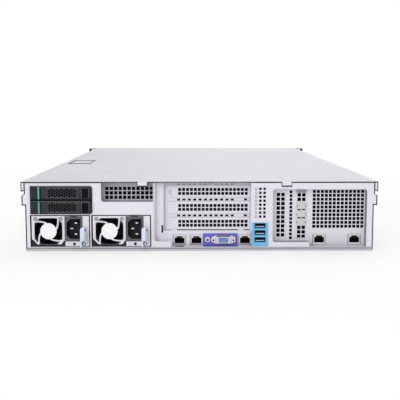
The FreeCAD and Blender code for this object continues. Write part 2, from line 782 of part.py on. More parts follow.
pan = [box("pan_floor", (-wall, wall), (rear, front), (0, s.sheet)),
       box("rear_lip", (left, right), (rear, rear + s.sheet), (s.sheet, s.lip_height))]
for name, sign_x in (("left_wall", -1), ("right_wall", 1)):
    side = new_body(name)
    sk = rear_sketch(side, rear)
    outer = [(wall * sign_x, s.sheet)] + side_profile(as_size(0), sign_x)
    outer.append(((wall + s.neck_out) * sign_x, lid))
    inner = [(right * sign_x, s.sheet)] + side_profile(s.sheet, sign_x)
    inner.append(((right + s.neck_out) * sign_x, lid))
    outline(sk, outer + inner[::-1])
    pad(side, sk, s.depth)
    pan.append(side)
node("chassis_pan", group("chassis_pan", pan))

# Left rear panel with the bay openings

edge = s.sheet + s.fit_gap
panel = new_body("left_panel")
sk = rear_sketch(panel, rear)
outline(sk, [
    (left + s.fit_gap, s.lip_height),
    (io_left + s.foot_width, s.lip_height),
    (io_left + s.foot_width, s.foot_height),
    (io_left, s.foot_height, s.corner),
    (io_left, s.vent_sill),
    (vent_left, s.vent_sill, s.corner),
    (vent_left, panel_top),
    (left - s.neck_out + s.fit_gap, panel_top),
] + side_profile(edge, -1)[::-1])
pad(panel, sk, s.sheet)
sk = rear_sketch(panel, rear)
for x in psu_x:
    rectangle(sk, (x - s.bay_reveal, x + s.psu_width + s.bay_reveal), (0, psu_top + s.bay_reveal))
bay_corner = s.bezel_round + s.bay_gap
outline(sk, [
    (carrier_x - s.bay_gap, carrier_z[0] - s.bay_gap),
    (carrier_x + s.carrier_width + s.bay_gap, carrier_z[0] - s.bay_gap, bay_corner),
    (carrier_x + s.carrier_width + s.bay_gap, carrier_z[1] + s.carrier_height + s.bay_gap, bay_corner),
    (carrier_x - s.bay_gap, carrier_z[1] + s.carrier_height + s.bay_gap),
])
pocket(panel, sk, s.sheet)
node("left_rear_panel", panel)

# Right rear panel round the card and network recesses

panel = new_body("right_panel")
sk = rear_sketch(panel, rear)
outline(sk, [
    (io_right, s.lip_height),
    (card_right, s.lip_height),
    (card_right, s.card_sill),
    (card_left, s.card_sill, s.corner),
    (card_left, window_top, s.corner),
    (lan_right, window_top, s.corner),
    (lan_right, s.lip_height),
    (right - s.fit_gap, s.lip_height),
] + side_profile(edge, 1) + [
    (right + s.neck_out - s.fit_gap, panel_top),
    (io_right, panel_top),
])
pad(panel, sk, s.sheet)
usb_x = io_right + s.plate_thin / 2 + s.usb_plate_width / 2
stack = s.usb_pitch * (s.usb_count - 1)
sk = rear_sketch(panel, rear)
rectangle(sk, (usb_x - s.usb_width / 2 - s.port_gap, usb_x + s.usb_width / 2 + s.port_gap),
          (s.usb_first - s.usb_height / 2 - s.port_gap,
           s.usb_first + stack + s.usb_height / 2 + s.port_gap))
pocket(panel, sk, s.sheet)
usb_vent_x = usb_x - s.usb_vent_pitch_across * (s.usb_vent_columns - 1) / 2
hole_field(panel, rear, s.sheet, (usb_vent_x, s.usb_vent_first), s.usb_vent_hole,
           s.usb_vent_columns, s.usb_vent_pitch_across, s.usb_vent_rows, s.usb_vent_pitch_up)
node("right_rear_panel", panel)

# Vent grille: perforated plate with walls out to the rear panel

vent = new_body("vent")
vent_y = rear + s.vent_recess
sk = rear_sketch(vent, vent_y)
rectangle(sk, (vent_left - s.sheet, io_left), (s.vent_sill - s.sheet, panel_top))
pad(vent, sk, s.sheet)
hole_field(vent, vent_y, s.sheet, (vent_left + s.vent_inset + s.vent_hole / 2,
                                   s.vent_sill + s.vent_rise + s.vent_hole / 2),
           s.vent_hole, s.vent_columns, s.vent_pitch, s.vent_rows, s.vent_pitch)
sk = rear_sketch(vent, panel_back)
outline(sk, [
    (vent_left - s.sheet, panel_top),
    (vent_left - s.sheet, s.vent_sill - s.sheet),
    (io_left, s.vent_sill - s.sheet),
    (io_left, panel_top),
    (io_left - s.sheet, panel_top),
    (io_left - s.sheet, s.vent_sill),
    (vent_left, s.vent_sill),
    (vent_left, panel_top),
])
pad(vent, sk, s.vent_recess - s.sheet)
node("vent_grille", vent)

# Port plate: recessed sheet under and beside the riser window

port = new_body("port_plate")
port_y = rear + s.io_recess
port_left = io_left + s.fit_gap
riser_left = io_left + s.riser_inset
sk = rear_sketch(port, port_y)
outline(sk, [
    (port_left, s.sheet),
    (io_right, s.sheet),
    (io_right, s.riser_sill),
    (riser_left, s.riser_sill),
    (riser_left, panel_top),
    (port_left, panel_top),
])
pad(port, sk, s.sheet)
jack_x = [io_left + s.jack_first, io_left + s.jack_first + s.jack_pitch, io_left + s.jack_third]
video_x = io_left + s.video_left + s.video_centre
button_x = io_left + s.video_left + s.button_centre
sk = rear_sketch(port, port_y)
for x in jack_x:
    rectangle(sk, (x - s.jack_width / 2 - s.port_gap, x + s.jack_width / 2 + s.port_gap),
              (board_top - s.port_gap, board_top + s.jack_height + s.port_gap))
rectangle(sk, (video_x - s.shell_width / 2 - s.port_gap, video_x + s.shell_width / 2 + s.port_gap),
          (s.video_height - s.shell_height / 2 - s.port_gap,
           s.video_height + s.shell_height / 2 + s.port_gap))
polygon(sk, button_x, s.video_height, around(s.button_radius + s.button_gap, ROUND), ROUND)
hook_x = riser_left - s.hook_slot_inset
rectangle(sk, (hook_x, hook_x + s.hook_slot), (s.hook_slot_low, s.hook_slot_low + s.hook_slot_height))
rectangle(sk, (jack_x[0] - s.foot_slot_width / 2, jack_x[0] + s.foot_slot_width / 2),
          (s.foot_slot_low, s.foot_slot_low + s.foot_slot_height))
pocket(port, sk, s.sheet)
sk = rear_sketch(port, panel_back)
rectangle(sk, (port_left, port_left + s.sheet), (s.foot_height, panel_top))
rectangle(sk, (io_right - s.sheet, io_right), (s.riser_sill, panel_top))
pad(port, sk, s.card_recess - s.sheet)
sk = rear_sketch(port, port_y)
rectangle(sk, (riser_left, io_right - s.sheet / 2), (s.riser_sill - s.sheet, s.riser_sill))
pad(port, sk, s.card_recess - s.io_recess)
slot_right = io_right - s.sheet - s.fit_gap
slot_left = slot_right - s.slot_length
sk = rear_sketch(port, rear + s.card_recess - s.slot_sheet)
for x in (slot_left + s.sill_lug_first, slot_right - s.sill_lug_last - s.sill_lug):
    rectangle(sk, (x, x + s.sill_lug), (s.riser_sill - s.sheet / 2, s.riser_sill + s.sill_lug_height))
pad(port, sk, s.slot_sheet)
sk = rear_sketch(port, panel_back)
vent_top = s.usb_vent_first + s.usb_vent_pitch_up * (s.usb_vent_rows - 1)
rectangle(sk, (io_right - s.sheet / 2, usb_vent_x + s.usb_vent_hole), (s.usb_vent_first - s.usb_vent_hole,
                                                                      vent_top + s.usb_vent_hole))
pad(port, sk, s.slot_sheet)
node("port_plate", port)

# Riser cage: slotted frame and side wall behind the slot covers

riser = new_body("riser")
cover_y = rear + s.card_recess
frame_y = cover_y + s.slot_sheet
slot_z = [s.slot_first + s.slot_pitch * i for i in range(3)]
sk = rear_sketch(riser, frame_y)
rectangle(sk, (riser_left, slot_right), (s.riser_sill - s.sheet, panel_top))
pad(riser, sk, s.sheet)
sk = rear_sketch(riser, frame_y)
strip_inset = (s.slot_height - s.slot_open_height) / 2
for z in slot_z:
    rectangle(sk, (slot_left + s.slot_hole_inset / 2, slot_right - strip_inset),
              (z - s.slot_open_height / 2, z + s.slot_open_height / 2))
pocket(riser, sk, s.sheet)
sk = rear_sketch(riser, frame_y)
strip_half = s.strip_slot_width / 2
strip_x = slot_left + s.strip_first
strip_z = [(slot_z[i] + slot_z[i + 1]) / 2 for i in range(2)]
rectangle(sk, (strip_x - strip_half, strip_x + strip_half),
          (strip_z[0] - s.strip_slot_height / 2, strip_z[0] + s.strip_slot_height / 2))
first = pocket(riser, sk, s.sheet)
field(riser, first, sk, s.strip_count, s.strip_pitch, as_size(2), s.slot_pitch)
sk = rear_sketch(riser, frame_y)
last_x = slot_right - s.strip_last
for z in strip_z:
    rectangle(sk, (last_x - strip_half, last_x + strip_half),
              (z - s.strip_slot_height / 2, z + s.strip_slot_height / 2))
pocket(riser, sk, s.sheet)
cover_low = slot_z[0] - s.slot_height / 2
sk = rear_sketch(riser, frame_y)
rectangle(sk, (slot_left + s.sill_lug_first + s.sill_lug, slot_right - s.sheet),
          (s.riser_sill - s.sheet * 2, cover_low))
pocket(riser, sk, s.sheet)
top_strip_z = slot_z[2] + s.slot_height / 2 + s.top_strip_rise
sk = rear_sketch(riser, frame_y)
rectangle(sk, (strip_x - strip_half, strip_x + strip_half), (top_strip_z, top_strip_z + s.top_strip_height))
first = pocket(riser, sk, s.sheet)
row(riser, first, sk, "H_Axis", s.strip_count, s.strip_pitch)
sk = rear_sketch(riser, cover_y)
lug_x = slot_left + s.stop_lug_first
rectangle(sk, (lug_x, lug_x + s.stop_lug),
          (top_strip_z - s.top_strip_height, top_strip_z + s.top_strip_height))
pad(riser, sk, s.slot_sheet + s.sheet / 2)
sk = rear_sketch(riser, port_y + s.sheet)
rectangle(sk, (riser_left - s.sheet, riser_left), (s.riser_sill - s.sheet, panel_top))
pad(riser, sk, s.riser_depth)
node("riser_cage", riser)

# Slot covers, one body placed three times

cover = new_body("slot_cover")
sk = rear_sketch(cover, 0)
rectangle(sk, (0, s.slot_length), (-s.slot_height / 2, s.slot_height / 2))
pad(cover, sk, s.slot_sheet)
hole_field(cover, 0, s.slot_sheet, (s.slot_hole_inset, -s.slot_hole_pitch / 2), s.slot_hole,
           s.slot_columns, s.slot_hole_pitch, as_size(2), s.slot_hole_pitch)
covers = [group(f"slot_cover_at_{i}", [cover], slot_left, cover_y, z) for i, z in enumerate(slot_z)]
node("slot_covers", group("slot_covers", covers))

# Network plate: grille, divider holes and card openings in the right recess

lan = new_body("lan_plate")
lan_y = rear + s.card_recess
sk = rear_sketch(lan, lan_y)
rectangle(sk, (card_left - s.sheet, lan_right + s.sheet), (s.sheet, window_top + s.sheet))
pad(lan, sk, s.sheet)
bracket_x = [card_left + s.bracket_first, card_left + s.bracket_first + s.bracket_pitch]
bracket_z = s.card_sill + s.bracket_rise
lan_jack_x = [card_right + s.lan_jack_first, card_right + s.lan_jack_first + s.lan_jack_pitch]
sk = rear_sketch(lan, lan_y)
for x in bracket_x:
    rectangle(sk, (x + s.sheet, x + s.bracket_width - s.sheet),
              (bracket_z + s.sheet, bracket_z + s.bracket_height - s.sheet))
for x in lan_jack_x:
    rectangle(sk, (x - s.jack_width / 2 - s.port_gap, x + s.jack_width / 2 + s.port_gap),
              (board_top - s.port_gap, board_top + s.jack_height + s.port_gap))
pocket(lan, sk, s.sheet)
divider_x = (bracket_x[0] + s.bracket_width + bracket_x[1]) / 2
hole_field(lan, lan_y, s.sheet, (card_right + s.lan_hole_inset, s.lan_hole_rise), s.lan_hole,
           s.lan_columns, s.lan_pitch_across, s.lan_rows, s.lan_pitch_up)
sk = rear_sketch(lan, lan_y)
half = s.divider_hole / 2
divider_z = s.card_sill + s.divider_rise
rectangle(sk, (divider_x - half, divider_x + half), (divider_z - half, divider_z + half))
first = pocket(lan, sk, s.sheet)
row(lan, first, sk, "V_Axis", s.divider_rows, s.divider_pitch)
sk = rear_sketch(lan, panel_back)
outline(sk, [
    (card_right, s.card_sill - s.sheet),
    (card_right, s.card_sill),
    (card_left, s.card_sill),
    (card_left, window_top),
    (lan_right, window_top),
    (lan_right, s.lip_height),
    (lan_right + s.sheet, s.lip_height),
    (lan_right + s.sheet, window_top + s.sheet),
    (card_left - s.sheet, window_top + s.sheet),
    (card_left - s.sheet, s.card_sill - s.sheet),
])
pad(lan, sk, s.card_recess - s.sheet)
node("network_plate", lan)

# Small card brackets in front of their openings, the second with port plugs

bracket_y = lan_y - s.bracket_sheet
open_bracket = new_body("open_bracket")
sk = rear_sketch(open_bracket, 0)
rectangle(sk, (0, s.bracket_width), (0, s.bracket_height))
pad(open_bracket, sk, s.bracket_sheet)
hole_left = (s.bracket_width - s.bracket_hole_across) / 2
hole_field(open_bracket, 0, s.bracket_sheet, (hole_left, s.bracket_hole_rise), s.bracket_hole,
           as_size(2), s.bracket_hole_across, s.bracket_rows, s.bracket_hole_up)
plug_bracket = new_body("plug_bracket")
sk = rear_sketch(plug_bracket, 0)
rectangle(sk, (0, s.bracket_width), (0, s.bracket_height))
pad(plug_bracket, sk, s.bracket_sheet)
hole_field(plug_bracket, 0, s.bracket_sheet, (hole_left, s.plug_hole_rise), s.bracket_hole,
           as_size(2), s.bracket_hole_across, as_size(3), s.bracket_hole_up)
plug_top = s.plug_first + s.plug_pitch * s.plug_count
hole_field(plug_bracket, 0, s.bracket_sheet, (hole_left, plug_top + s.plug_hole_head), s.bracket_hole,
           as_size(2), s.bracket_hole_across, as_size(2), s.bracket_hole_up)
slot_drop = (s.plug_pitch - s.plug_height + s.plug_slot) / 2
sk = rear_sketch(plug_bracket, 0)
for z in (s.plug_first + s.plug_pitch - slot_drop, s.plug_first + s.plug_pitch * 2 - slot_drop):
    for x in (hole_left, hole_left + s.bracket_hole_across):
        rectangle(sk, (x - s.bracket_hole / 2, x + s.bracket_hole / 2), (z, z + s.plug_slot))
pocket(plug_bracket, sk, s.bracket_sheet)
brackets = [
    group("open_bracket_at", [open_bracket], bracket_x[0], bracket_y, bracket_z),
    group("plug_bracket_at", [plug_bracket], bracket_x[1], bracket_y, bracket_z),
]
plug_xs = (bracket_x[1] + s.sheet / 2, bracket_x[1] + s.bracket_width - s.sheet / 2)
plug_ys = (bracket_y - s.plug_proud, bracket_y)
for i in range(int(s.plug_count.value)):
    z = bracket_z + s.plug_first + s.plug_pitch * i
    brackets.append(box(f"plug_{i}", plug_xs, plug_ys, (z, z + s.plug_height)))
node("card_brackets", group("card_brackets", brackets))

# Network jacks: shell with a keyed opening, placed five times

jack_shell = box("jack_shell", (-s.jack_width / 2, s.jack_width / 2), (0, s.jack_depth), (0, s.jack_height))
key_bottom = s.jack_open_rise + s.jack_open_height
jack_mouth = box("jack_mouth", (-s.jack_open_width / 2, s.jack_open_width / 2),
                 (-1, s.jack_open_depth), (s.jack_open_rise, key_bottom))
jack_key = box("jack_key", (-s.jack_key_width / 2, s.jack_key_width / 2),
               (-1, s.jack_open_depth), (key_bottom - s.port_gap, key_bottom + s.jack_key_height))
jack = cut("jack", jack_shell, [jack_mouth, jack_key])
jacks = []
for x in jack_x:
    jacks.append(group("jack_at", [jack], x, port_y - s.jack_proud, board_top))
for x in lan_jack_x:
    jacks.append(group("jack_at", [jack], x, lan_y - s.jack_proud, board_top))
node("network_jacks", group("network_jacks", jacks))

# Video plate, socket and locator button

video_left = io_left + s.video_left
video_y = port_y - s.plate_thin


def flange_outline(sk, grow):
    """Outline of the video flange, tapered towards the jack posts."""
    reach = s.flange_width / 2 + grow
    half = s.flange_height / 2 + grow
    tip = s.flange_end / 2 + grow
    corners = [(reach, tip), (s.flange_shoulder, half), (-s.flange_shoulder, half), (-reach, tip),
               (-reach, -tip), (-s.flange_shoulder, -half), (s.flange_shoulder, -half), (reach, -tip)]
    outline(sk, [(video_x + x, s.video_height + z) for x, z in corners])


plate = new_body("video_plate")
sk = rear_sketch(plate, video_y)
rectangle(sk, (video_left, video_left + s.video_width), (s.video_bottom, s.video_top))
pad(plate, sk, s.plate_thin)
sk = rear_sketch(plate, video_y)
flange_outline(sk, s.port_gap)
circle(sk, button_x, s.video_height, s.button_radius + s.button_gap)
pocket(plate, sk, s.plate_thin)
node("video_plate", plate)


def d_outline(sk, inset):
    """Outline of the video shell, wider at the top."""
    high = s.video_height + s.shell_height / 2 - inset
    low = s.video_height - s.shell_height / 2 + inset
    wide = s.shell_width / 2 - inset
    outline(sk, [(video_x - wide + s.shell_lean, low), (video_x + wide - s.shell_lean, low),
                 (video_x + wide, high), (video_x - wide, high)])


shell = new_body("video_shell")
sk = rear_sketch(shell, video_y)
flange_outline(sk, as_size(0))
pad(shell, sk, s.plate_thin)
sk = rear_sketch(shell, port_y - s.shell_out)
d_outline(sk, as_size(0))
pad(shell, sk, s.shell_out)
sk = rear_sketch(shell, port_y - s.shell_out)
d_outline(sk, s.shell_wall)
pocket(shell, sk, s.shell_out)
insert = new_body("video_insert")
sk = rear_sketch(insert, port_y - s.shell_out + s.insert_back)
d_outline(sk, s.shell_wall)
pad(insert, sk, s.shell_out + s.sheet)
video = [shell, insert]
for i, x in enumerate((video_x - s.post_pitch / 2, video_x + s.post_pitch / 2)):
    start = (x, video_y - s.post_out, s.video_height)
    post = prism(f"post_{i}", "y", start, s.post_radius, s.post_out, 6)
    bore = prism(f"post_bore_{i}", "y", start, s.thread_radius, s.post_out - s.sheet, ROUND)
    video.append(cut(f"jack_post_{i}", post, [bore]))
node("video_socket", group("video_socket", video))

# Locator button: cap and stem in the port plate, switch body behind

button_y = video_y - s.button_out
locator = cylinder("locator", "y", (button_x, button_y, s.video_height), s.button_radius, s.button_length)
node("locator_button", locator)

# Socket plate and the stack of three sockets

plate = new_body("usb_plate")
usb_plate_z = s.lip_height + s.usb_plate_rise
sk = rear_sketch(plate, rear - s.plate_thin)
rectangle(sk, (usb_x - s.usb_plate_width / 2, usb_x + s.usb_plate_width / 2),
          (usb_plate_z, usb_plate_z + s.usb_plate_height))
pad(plate, sk, s.plate_thin)
sk = rear_sketch(plate, rear - s.plate_thin)
rectangle(sk, (usb_x - s.usb_width / 2 - s.port_gap, usb_x + s.usb_width / 2 + s.port_gap),
          (s.usb_first - s.usb_height / 2 - s.port_gap, s.usb_first + s.usb_height / 2 + s.port_gap))
first = pocket(plate, sk, s.plate_thin)
row(plate, first, sk, "V_Axis", s.usb_count, s.usb_pitch)
node("usb_plate", plate)

usb_half = s.usb_width / 2
usb_outer = box("usb_outer", (-usb_half, usb_half), (0, s.usb_depth), (-s.usb_height / 2, s.usb_height / 2))
usb_hollow = box("usb_hollow", (-usb_half + s.usb_wall, usb_half - s.usb_wall), (-1, s.usb_depth - s.sheet),
                 (-s.usb_height / 2 + s.usb_wall, s.usb_height / 2 - s.usb_wall))
usb_shell = cut("usb_shell", usb_outer, [usb_hollow])
usb_tongue = box("usb_tongue", (-usb_half + s.usb_wall * 3, usb_half - s.usb_wall * 3),
                 (s.usb_back, s.usb_depth - s.sheet), (-s.usb_drop, s.usb_tongue - s.usb_drop))
sockets = []
for i in range(int(s.usb_count.value)):
    sockets.append(group("usb_at", [usb_shell, usb_tongue], usb_x, rear - s.plate_thin,
                         s.usb_first + s.usb_pitch * i))
usb_web = s.usb_pitch - s.usb_height
for i in range(int(s.usb_count.value)):
    top_z = s.usb_first + s.usb_pitch * i - s.usb_height / 2
    drop = usb_web if i > 0 else s.usb_first - s.usb_height / 2 - board_top
    sockets.append(box(f"usb_web_{i}", (usb_x - usb_half + s.usb_wall, usb_x + usb_half - s.usb_wall),
                       (panel_back + s.sheet, rear - s.plate_thin + s.usb_depth), (top_z - drop, top_z)))
node("usb_sockets", group("usb_sockets", sockets))

# Rear bays: one folded crate for power supplies and rear drives

crate = new_body("rear_crate")
crate_right = psu_x[1] + s.psu_width + s.bay_gap + s.cage_sheet
upper_right = carrier_x + s.carrier_width + s.bay_gap + s.cage_sheet
crate_z = psu_z - s.bay_gap / 2 - s.cage_sheet
sk = rear_sketch(crate, panel_back)
rectangle(sk, (left + s.fit_gap, crate_right), (crate_z, shelf + s.cage_sheet))
pad(crate, sk, s.cage_depth)
sk = rear_sketch(crate, panel_back)
rectangle(sk, (left + s.fit_gap, upper_right), (shelf, bay_top + s.cage_sheet))
pad(crate, sk, s.drive_bay_depth)
sk = rear_sketch(crate, panel_back)
for x in psu_x:
    rectangle(sk, (x - s.bay_gap, x + s.psu_width + s.bay_gap), (psu_z - s.bay_gap / 2, psu_top + s.bay_gap))
for z in carrier_z:
    rectangle(sk, (carrier_x - s.bay_gap, carrier_x + s.carrier_width + s.bay_gap),
              (z - s.bay_gap / 2, z + s.carrier_height + s.bay_gap))
pocket(crate, sk, s.cage_depth)
node("rear_bays", crate)

# Fan rotor about the Y axis, hub from 0 forward, pitched blades


def rotor(name, hub, tip, length, chord, count, spindle_depth):
    """Hub, blades and a blind spindle bore at the front end."""
    body = new_body(name)
    sk = rear_sketch(body, 0)
    polygon(sk, 0, 0, hub, RING)
    pad(body, sk, length)
    sk = sketch_on(body, "YZ_Plane", hub - s.blade_thickness)
    foot = s.blade_thickness
    half = chord / 2
    outline(sk, [(foot, -half), (foot + s.blade_thickness * 1.5, -half),
                 (length - foot, half), (length - foot - s.blade_thickness * 1.5, half)])
    blade = pad(body, sk, tip - hub + s.blade_thickness, against=False)
    ring = body.newObject("PartDesign::PolarPattern", name + "_ring")
    ring.Originals = [blade]
    ring.Axis = (origin_part(body, "Y_Axis"), [""])
    ring.Angle = 360
    bind(ring, "Occurrences", count)
    body.Tip = ring
    sk = sketch_on(body, "XZ_Plane", -length)
    polygon(sk, 0, 0, around(s.spindle_radius + s.spindle_gap, SHAFT), SHAFT)
    bore = pocket(body, sk, spindle_depth)
    bore.Reversed = True
    body.Tip = bore
    return body


def motor(name, x, z, y, bore, mount, spindle_depth):
    """Motor mount: disc, two crossed arms and a spindle pointing to the rear."""
    arm = bore + s.spider_width / 4
    disc = prism(name + "_disc", "y", (x, y, z), mount, s.motor_depth, ROUND)
    across = box(name + "_across", (x - arm, x + arm), (y, y + s.motor_depth),
                 (z - s.spider_width / 2, z + s.spider_width / 2))
    upright = box(name + "_upright", (x - s.spider_width / 2, x + s.spider_width / 2), (y, y + s.motor_depth),
                  (z - arm, z + arm))
    spindle = prism(name + "_spindle", "y", (x, y - spindle_depth, z), s.spindle_radius,
                    spindle_depth + s.motor_depth, SHAFT)
    return [disc, across, upright, spindle]


# Power supply, built once at its own corner and placed twice

case_block = box("case_block", (0, s.psu_width), (0, s.psu_depth), (0, s.psu_height))
case_hollow = box("case_hollow", (s.psu_wall, s.psu_width - s.psu_wall),
                  (s.psu_wall, s.psu_depth - s.psu_wall),
                  (s.psu_wall, s.psu_height - s.psu_wall))
fan_z = s.psu_height / 2
guard_box = box("guard_box", (s.fan_centre - s.guard_width / 2, s.fan_centre + s.guard_width / 2),
                (-1, s.psu_wall + 1), (fan_z - s.guard_height / 2, fan_z + s.guard_height / 2))
guard_turn = doc.addObject("Part::Box", "guard_turn")
guard_turn.Placement = Placement(Vector(), Rotation(Vector(0, 1, 0), 45))
bind(guard_turn, "Length", s.guard_cut)
bind(guard_turn, "Height", s.guard_cut)
bind(guard_turn, "Width", s.psu_wall + 2)
place(guard_turn, s.fan_centre - s.guard_cut * math.sqrt(0.5), -1, fan_z)
guard_open = doc.addObject("Part::Common", "guard_open")
guard_open.Base = guard_box
guard_open.Tool = guard_turn

# Where a guard arm's arc starts and how far it sweeps, in degrees
ARM_START = -22
ARM_SWEEP = 36


def guard_arm(index):
    """Curved arm from the disc towards a corner, a quarter turn each."""
    turn = math.radians(90 * index)
    cosine = round(math.cos(turn))
    sine = round(math.sin(turn))
    x = s.fan_centre - s.arm_offset * cosine - s.arm_rise * sine
    z = fan_z - s.arm_offset * sine + s.arm_rise * cosine
    pieces = []
    for name, radius, reach in (("outer", s.arm_radius + s.arm_width, 1), ("inner", s.arm_radius, 2)):
        wedge = doc.addObject("Part::Cylinder", f"arm_{name}_{index}")
        wedge.Placement = Placement(Vector(), Rotation(Vector(1, 0, 0), 90)
                                    * Rotation(Vector(0, 0, 1), 90 * index + ARM_START))
        wedge.Angle = ARM_SWEEP if name == "outer" else 360
        bind(wedge, "Radius", radius)
        bind(wedge, "Height", s.psu_wall + 2 * reach)
        place(wedge, x, s.psu_wall + reach, z)
        pieces.append(wedge)
    return cut(f"guard_arm_{index}", pieces[0], [pieces[1]])


guard_disc = cylinder("guard_disc", "y", (s.fan_centre, -2, fan_z), s.hub_radius, s.psu_wall + 4)
guard = fuse("guard", [guard_disc] + [guard_arm(i) for i in range(4)])
guard_holes = cut("guard_holes", guard_open, [guard])
inlet_xs = (s.inlet_left, s.inlet_left + s.inlet_width)
inlet_zs = (s.inlet_rise, s.inlet_rise + s.inlet_height)
inlet_hole = box("inlet_hole", (inlet_xs[0] - s.port_gap, inlet_xs[1] + s.port_gap), (-1, s.psu_wall + 1),
                 (inlet_zs[0] - s.port_gap, inlet_zs[1] + s.port_gap))
lamp_hole = prism("lamp_hole", "y", (s.lamp_left, -1, s.lamp_rise), s.lamp_radius, s.psu_wall + 2, ROUND)
plug_hole = box("plug_hole", (s.psu_width / 4, s.psu_width * 3 / 4),
                (s.psu_depth - s.psu_wall - 1, s.psu_depth + 1), (s.psu_height / 4, s.psu_height / 2))
case_shell = cut("case_shell", case_block, [case_hollow])
case_open = cut("case_open", case_shell, [guard_holes, inlet_hole, lamp_hole, plug_hole])
latch_back = s.inlet_proud + s.latch_gap
pivot_length = latch_back + s.latch_base + s.fit_gap
pivot = prism("pivot", "y", (s.pivot_left, -pivot_length, s.pivot_rise), s.pivot_radius,
              pivot_length + s.psu_wall / 2, ROUND)
pivot_cap = cylinder("pivot_cap", "y", (s.pivot_left, -pivot_length - s.pivot_head_depth, s.pivot_rise),
                     s.pivot_head, s.pivot_head_depth)
case = fuse("case", [case_open, pivot, pivot_cap])

frame_zs = (s.psu_wall, s.psu_height - s.psu_wall)
frame_ys = (s.psu_wall, s.psu_wall + s.fan_frame_depth)
frame_block = box("frame_block", (s.fan_centre - s.fan_frame_width / 2, s.fan_centre + s.fan_frame_width / 2),
                  frame_ys, frame_zs)
frame_bore = prism("frame_bore", "y", (s.fan_centre, 0, fan_z), s.fan_bore, s.fan_frame_depth * 2, RING)
psu_spindle = s.psu_rotor_length / 2
frame_hollow = cut("frame_hollow", frame_block, [frame_bore])
motor_y = frame_ys[1] - s.motor_depth
fan_frame = fuse("fan_frame", [frame_hollow] + motor("psu_motor", s.fan_centre, fan_z, motor_y, s.fan_bore,
                                                     s.psu_rotor_hub, psu_spindle))

psu_rotor = rotor("psu_rotor", s.psu_rotor_hub, s.psu_rotor_tip, s.psu_rotor_length, s.psu_blade_chord,
                  s.psu_blade_count, psu_spindle + s.rotor_gap)
psu_rotor_y = motor_y - s.rotor_gap - s.psu_rotor_length

inlet = new_body("inlet_block")
sk = rear_sketch(inlet, -s.inlet_proud)
rectangle(sk, inlet_xs, inlet_zs)
pad(inlet, sk, s.inlet_depth)
cavity_x = s.inlet_left + s.inlet_wall
cavity_right = inlet_xs[1] - s.inlet_wall
cavity_low = s.inlet_rise + s.inlet_cap
cavity_high = inlet_zs[1] - s.inlet_cap
sk = rear_sketch(inlet, -s.inlet_proud)
outline(sk, [
    (cavity_x + s.inlet_chamfer, cavity_low),
    (cavity_right, cavity_low),
    (cavity_right, cavity_high),
    (cavity_x + s.inlet_chamfer, cavity_high),
    (cavity_x, cavity_high - s.inlet_chamfer),
    (cavity_x, cavity_low + s.inlet_chamfer),
])
pocket(inlet, sk, s.inlet_cavity)
inlet_mid = s.inlet_rise + s.inlet_height / 2
pins = []
for i, (x, z) in enumerate([(s.pin_earth, 0), (s.pin_line, s.pin_spread), (s.pin_line, -s.pin_spread)]):
    x = cavity_x + x
    z = inlet_mid + z
    pins.append(box(f"pin_{i}", (x - s.pin_long / 2, x + s.pin_long / 2),
                    (s.pin_back - s.inlet_proud, s.inlet_cavity - s.inlet_proud),
                    (z - s.pin_short / 2, z + s.pin_short / 2)))

latch = new_body("latch_tab")
latch_front = -latch_back - s.latch_thickness
latch_top = s.latch_rise + s.latch_height
latch_right = s.latch_left + s.latch_width
grip_right = s.latch_left + s.grip_width
grip_foot = s.pivot_left - s.pivot_head - s.latch_gap
grip_step = s.pivot_rise + s.pivot_head + s.grip_clear
sk = rear_sketch(latch, -latch_back - s.latch_base)
outline(sk, [
    (s.latch_left, s.latch_rise),
    (latch_right, s.latch_rise),
    (latch_right, latch_top - s.grip_width),
    (grip_right, latch_top),
    (s.latch_left, latch_top, s.latch_round),
])
pad(latch, sk, s.latch_base)
sk = rear_sketch(latch, latch_front)
outline(sk, [
    (s.latch_left, s.latch_rise),
    (grip_foot, s.latch_rise),
    (grip_foot, grip_step),
    (grip_right, grip_step + s.grip_clear),
    (grip_right, latch_top),
    (s.latch_left, latch_top, s.latch_round),
])
pad(latch, sk, s.latch_thickness)
sk = rear_sketch(latch, -latch_back - s.latch_base)
polygon(sk, s.pivot_left, s.pivot_rise, around(s.pivot_radius + s.pivot_gap, ROUND), ROUND)
pocket(latch, sk, s.latch_base)

for i, x in enumerate(psu_x, start=1):
    node(f"psu_{i}_case", group(f"psu_{i}_case", [case, fan_frame], x, rear, psu_z))
    node(f"psu_{i}_fan_rotor", group(f"psu_{i}_fan_rotor", [psu_rotor], x + s.fan_centre, rear + psu_rotor_y,
                                     psu_z + fan_z))
    node(f"psu_{i}_inlet", group(f"psu_{i}_inlet", [inlet] + pins, x, rear, psu_z))
    node(f"psu_{i}_latch", group(f"psu_{i}_latch", [latch], x, rear, psu_z))

# Rear drive carrier, built once at its own corner and placed twice

carrier = new_body("small_carrier")
sk = rear_sketch(carrier, 0)
outline(sk, [(0, 0), (s.carrier_width, 0, s.bezel_round), (s.carrier_width, s.carrier_height, s.bezel_round),
             (0, s.carrier_height)])
pad(carrier, sk, s.bezel_depth)
lever_xs = (s.lever_left, s.lever_left + s.lever_length)
lever_zs = (s.rim + s.lever_gap, s.carrier_height - s.rim - s.lever_gap)
sk = rear_sketch(carrier, 0)
rectangle(sk, (lever_xs[0] - s.lever_swing, lever_xs[1] + s.lever_gap), (s.rim, s.carrier_height - s.rim))
pocket(carrier, sk, s.lever_well)
sk = rear_sketch(carrier, s.lever_well)
rectangle(sk, (lever_xs[0] + s.hex_inset - s.hex_column, lever_xs[1] - s.rim * 2),
          (s.rim * 2, s.carrier_height - s.rim * 2))
pocket(carrier, sk, s.bezel_depth - s.lever_well)
key_xs = (s.key_left, s.key_left + s.key_width)
sk = rear_sketch(carrier, 0)
rectangle(sk, (key_xs[0] - s.lever_gap, key_xs[1] + s.lever_gap), (s.rim, s.carrier_height - s.rim))
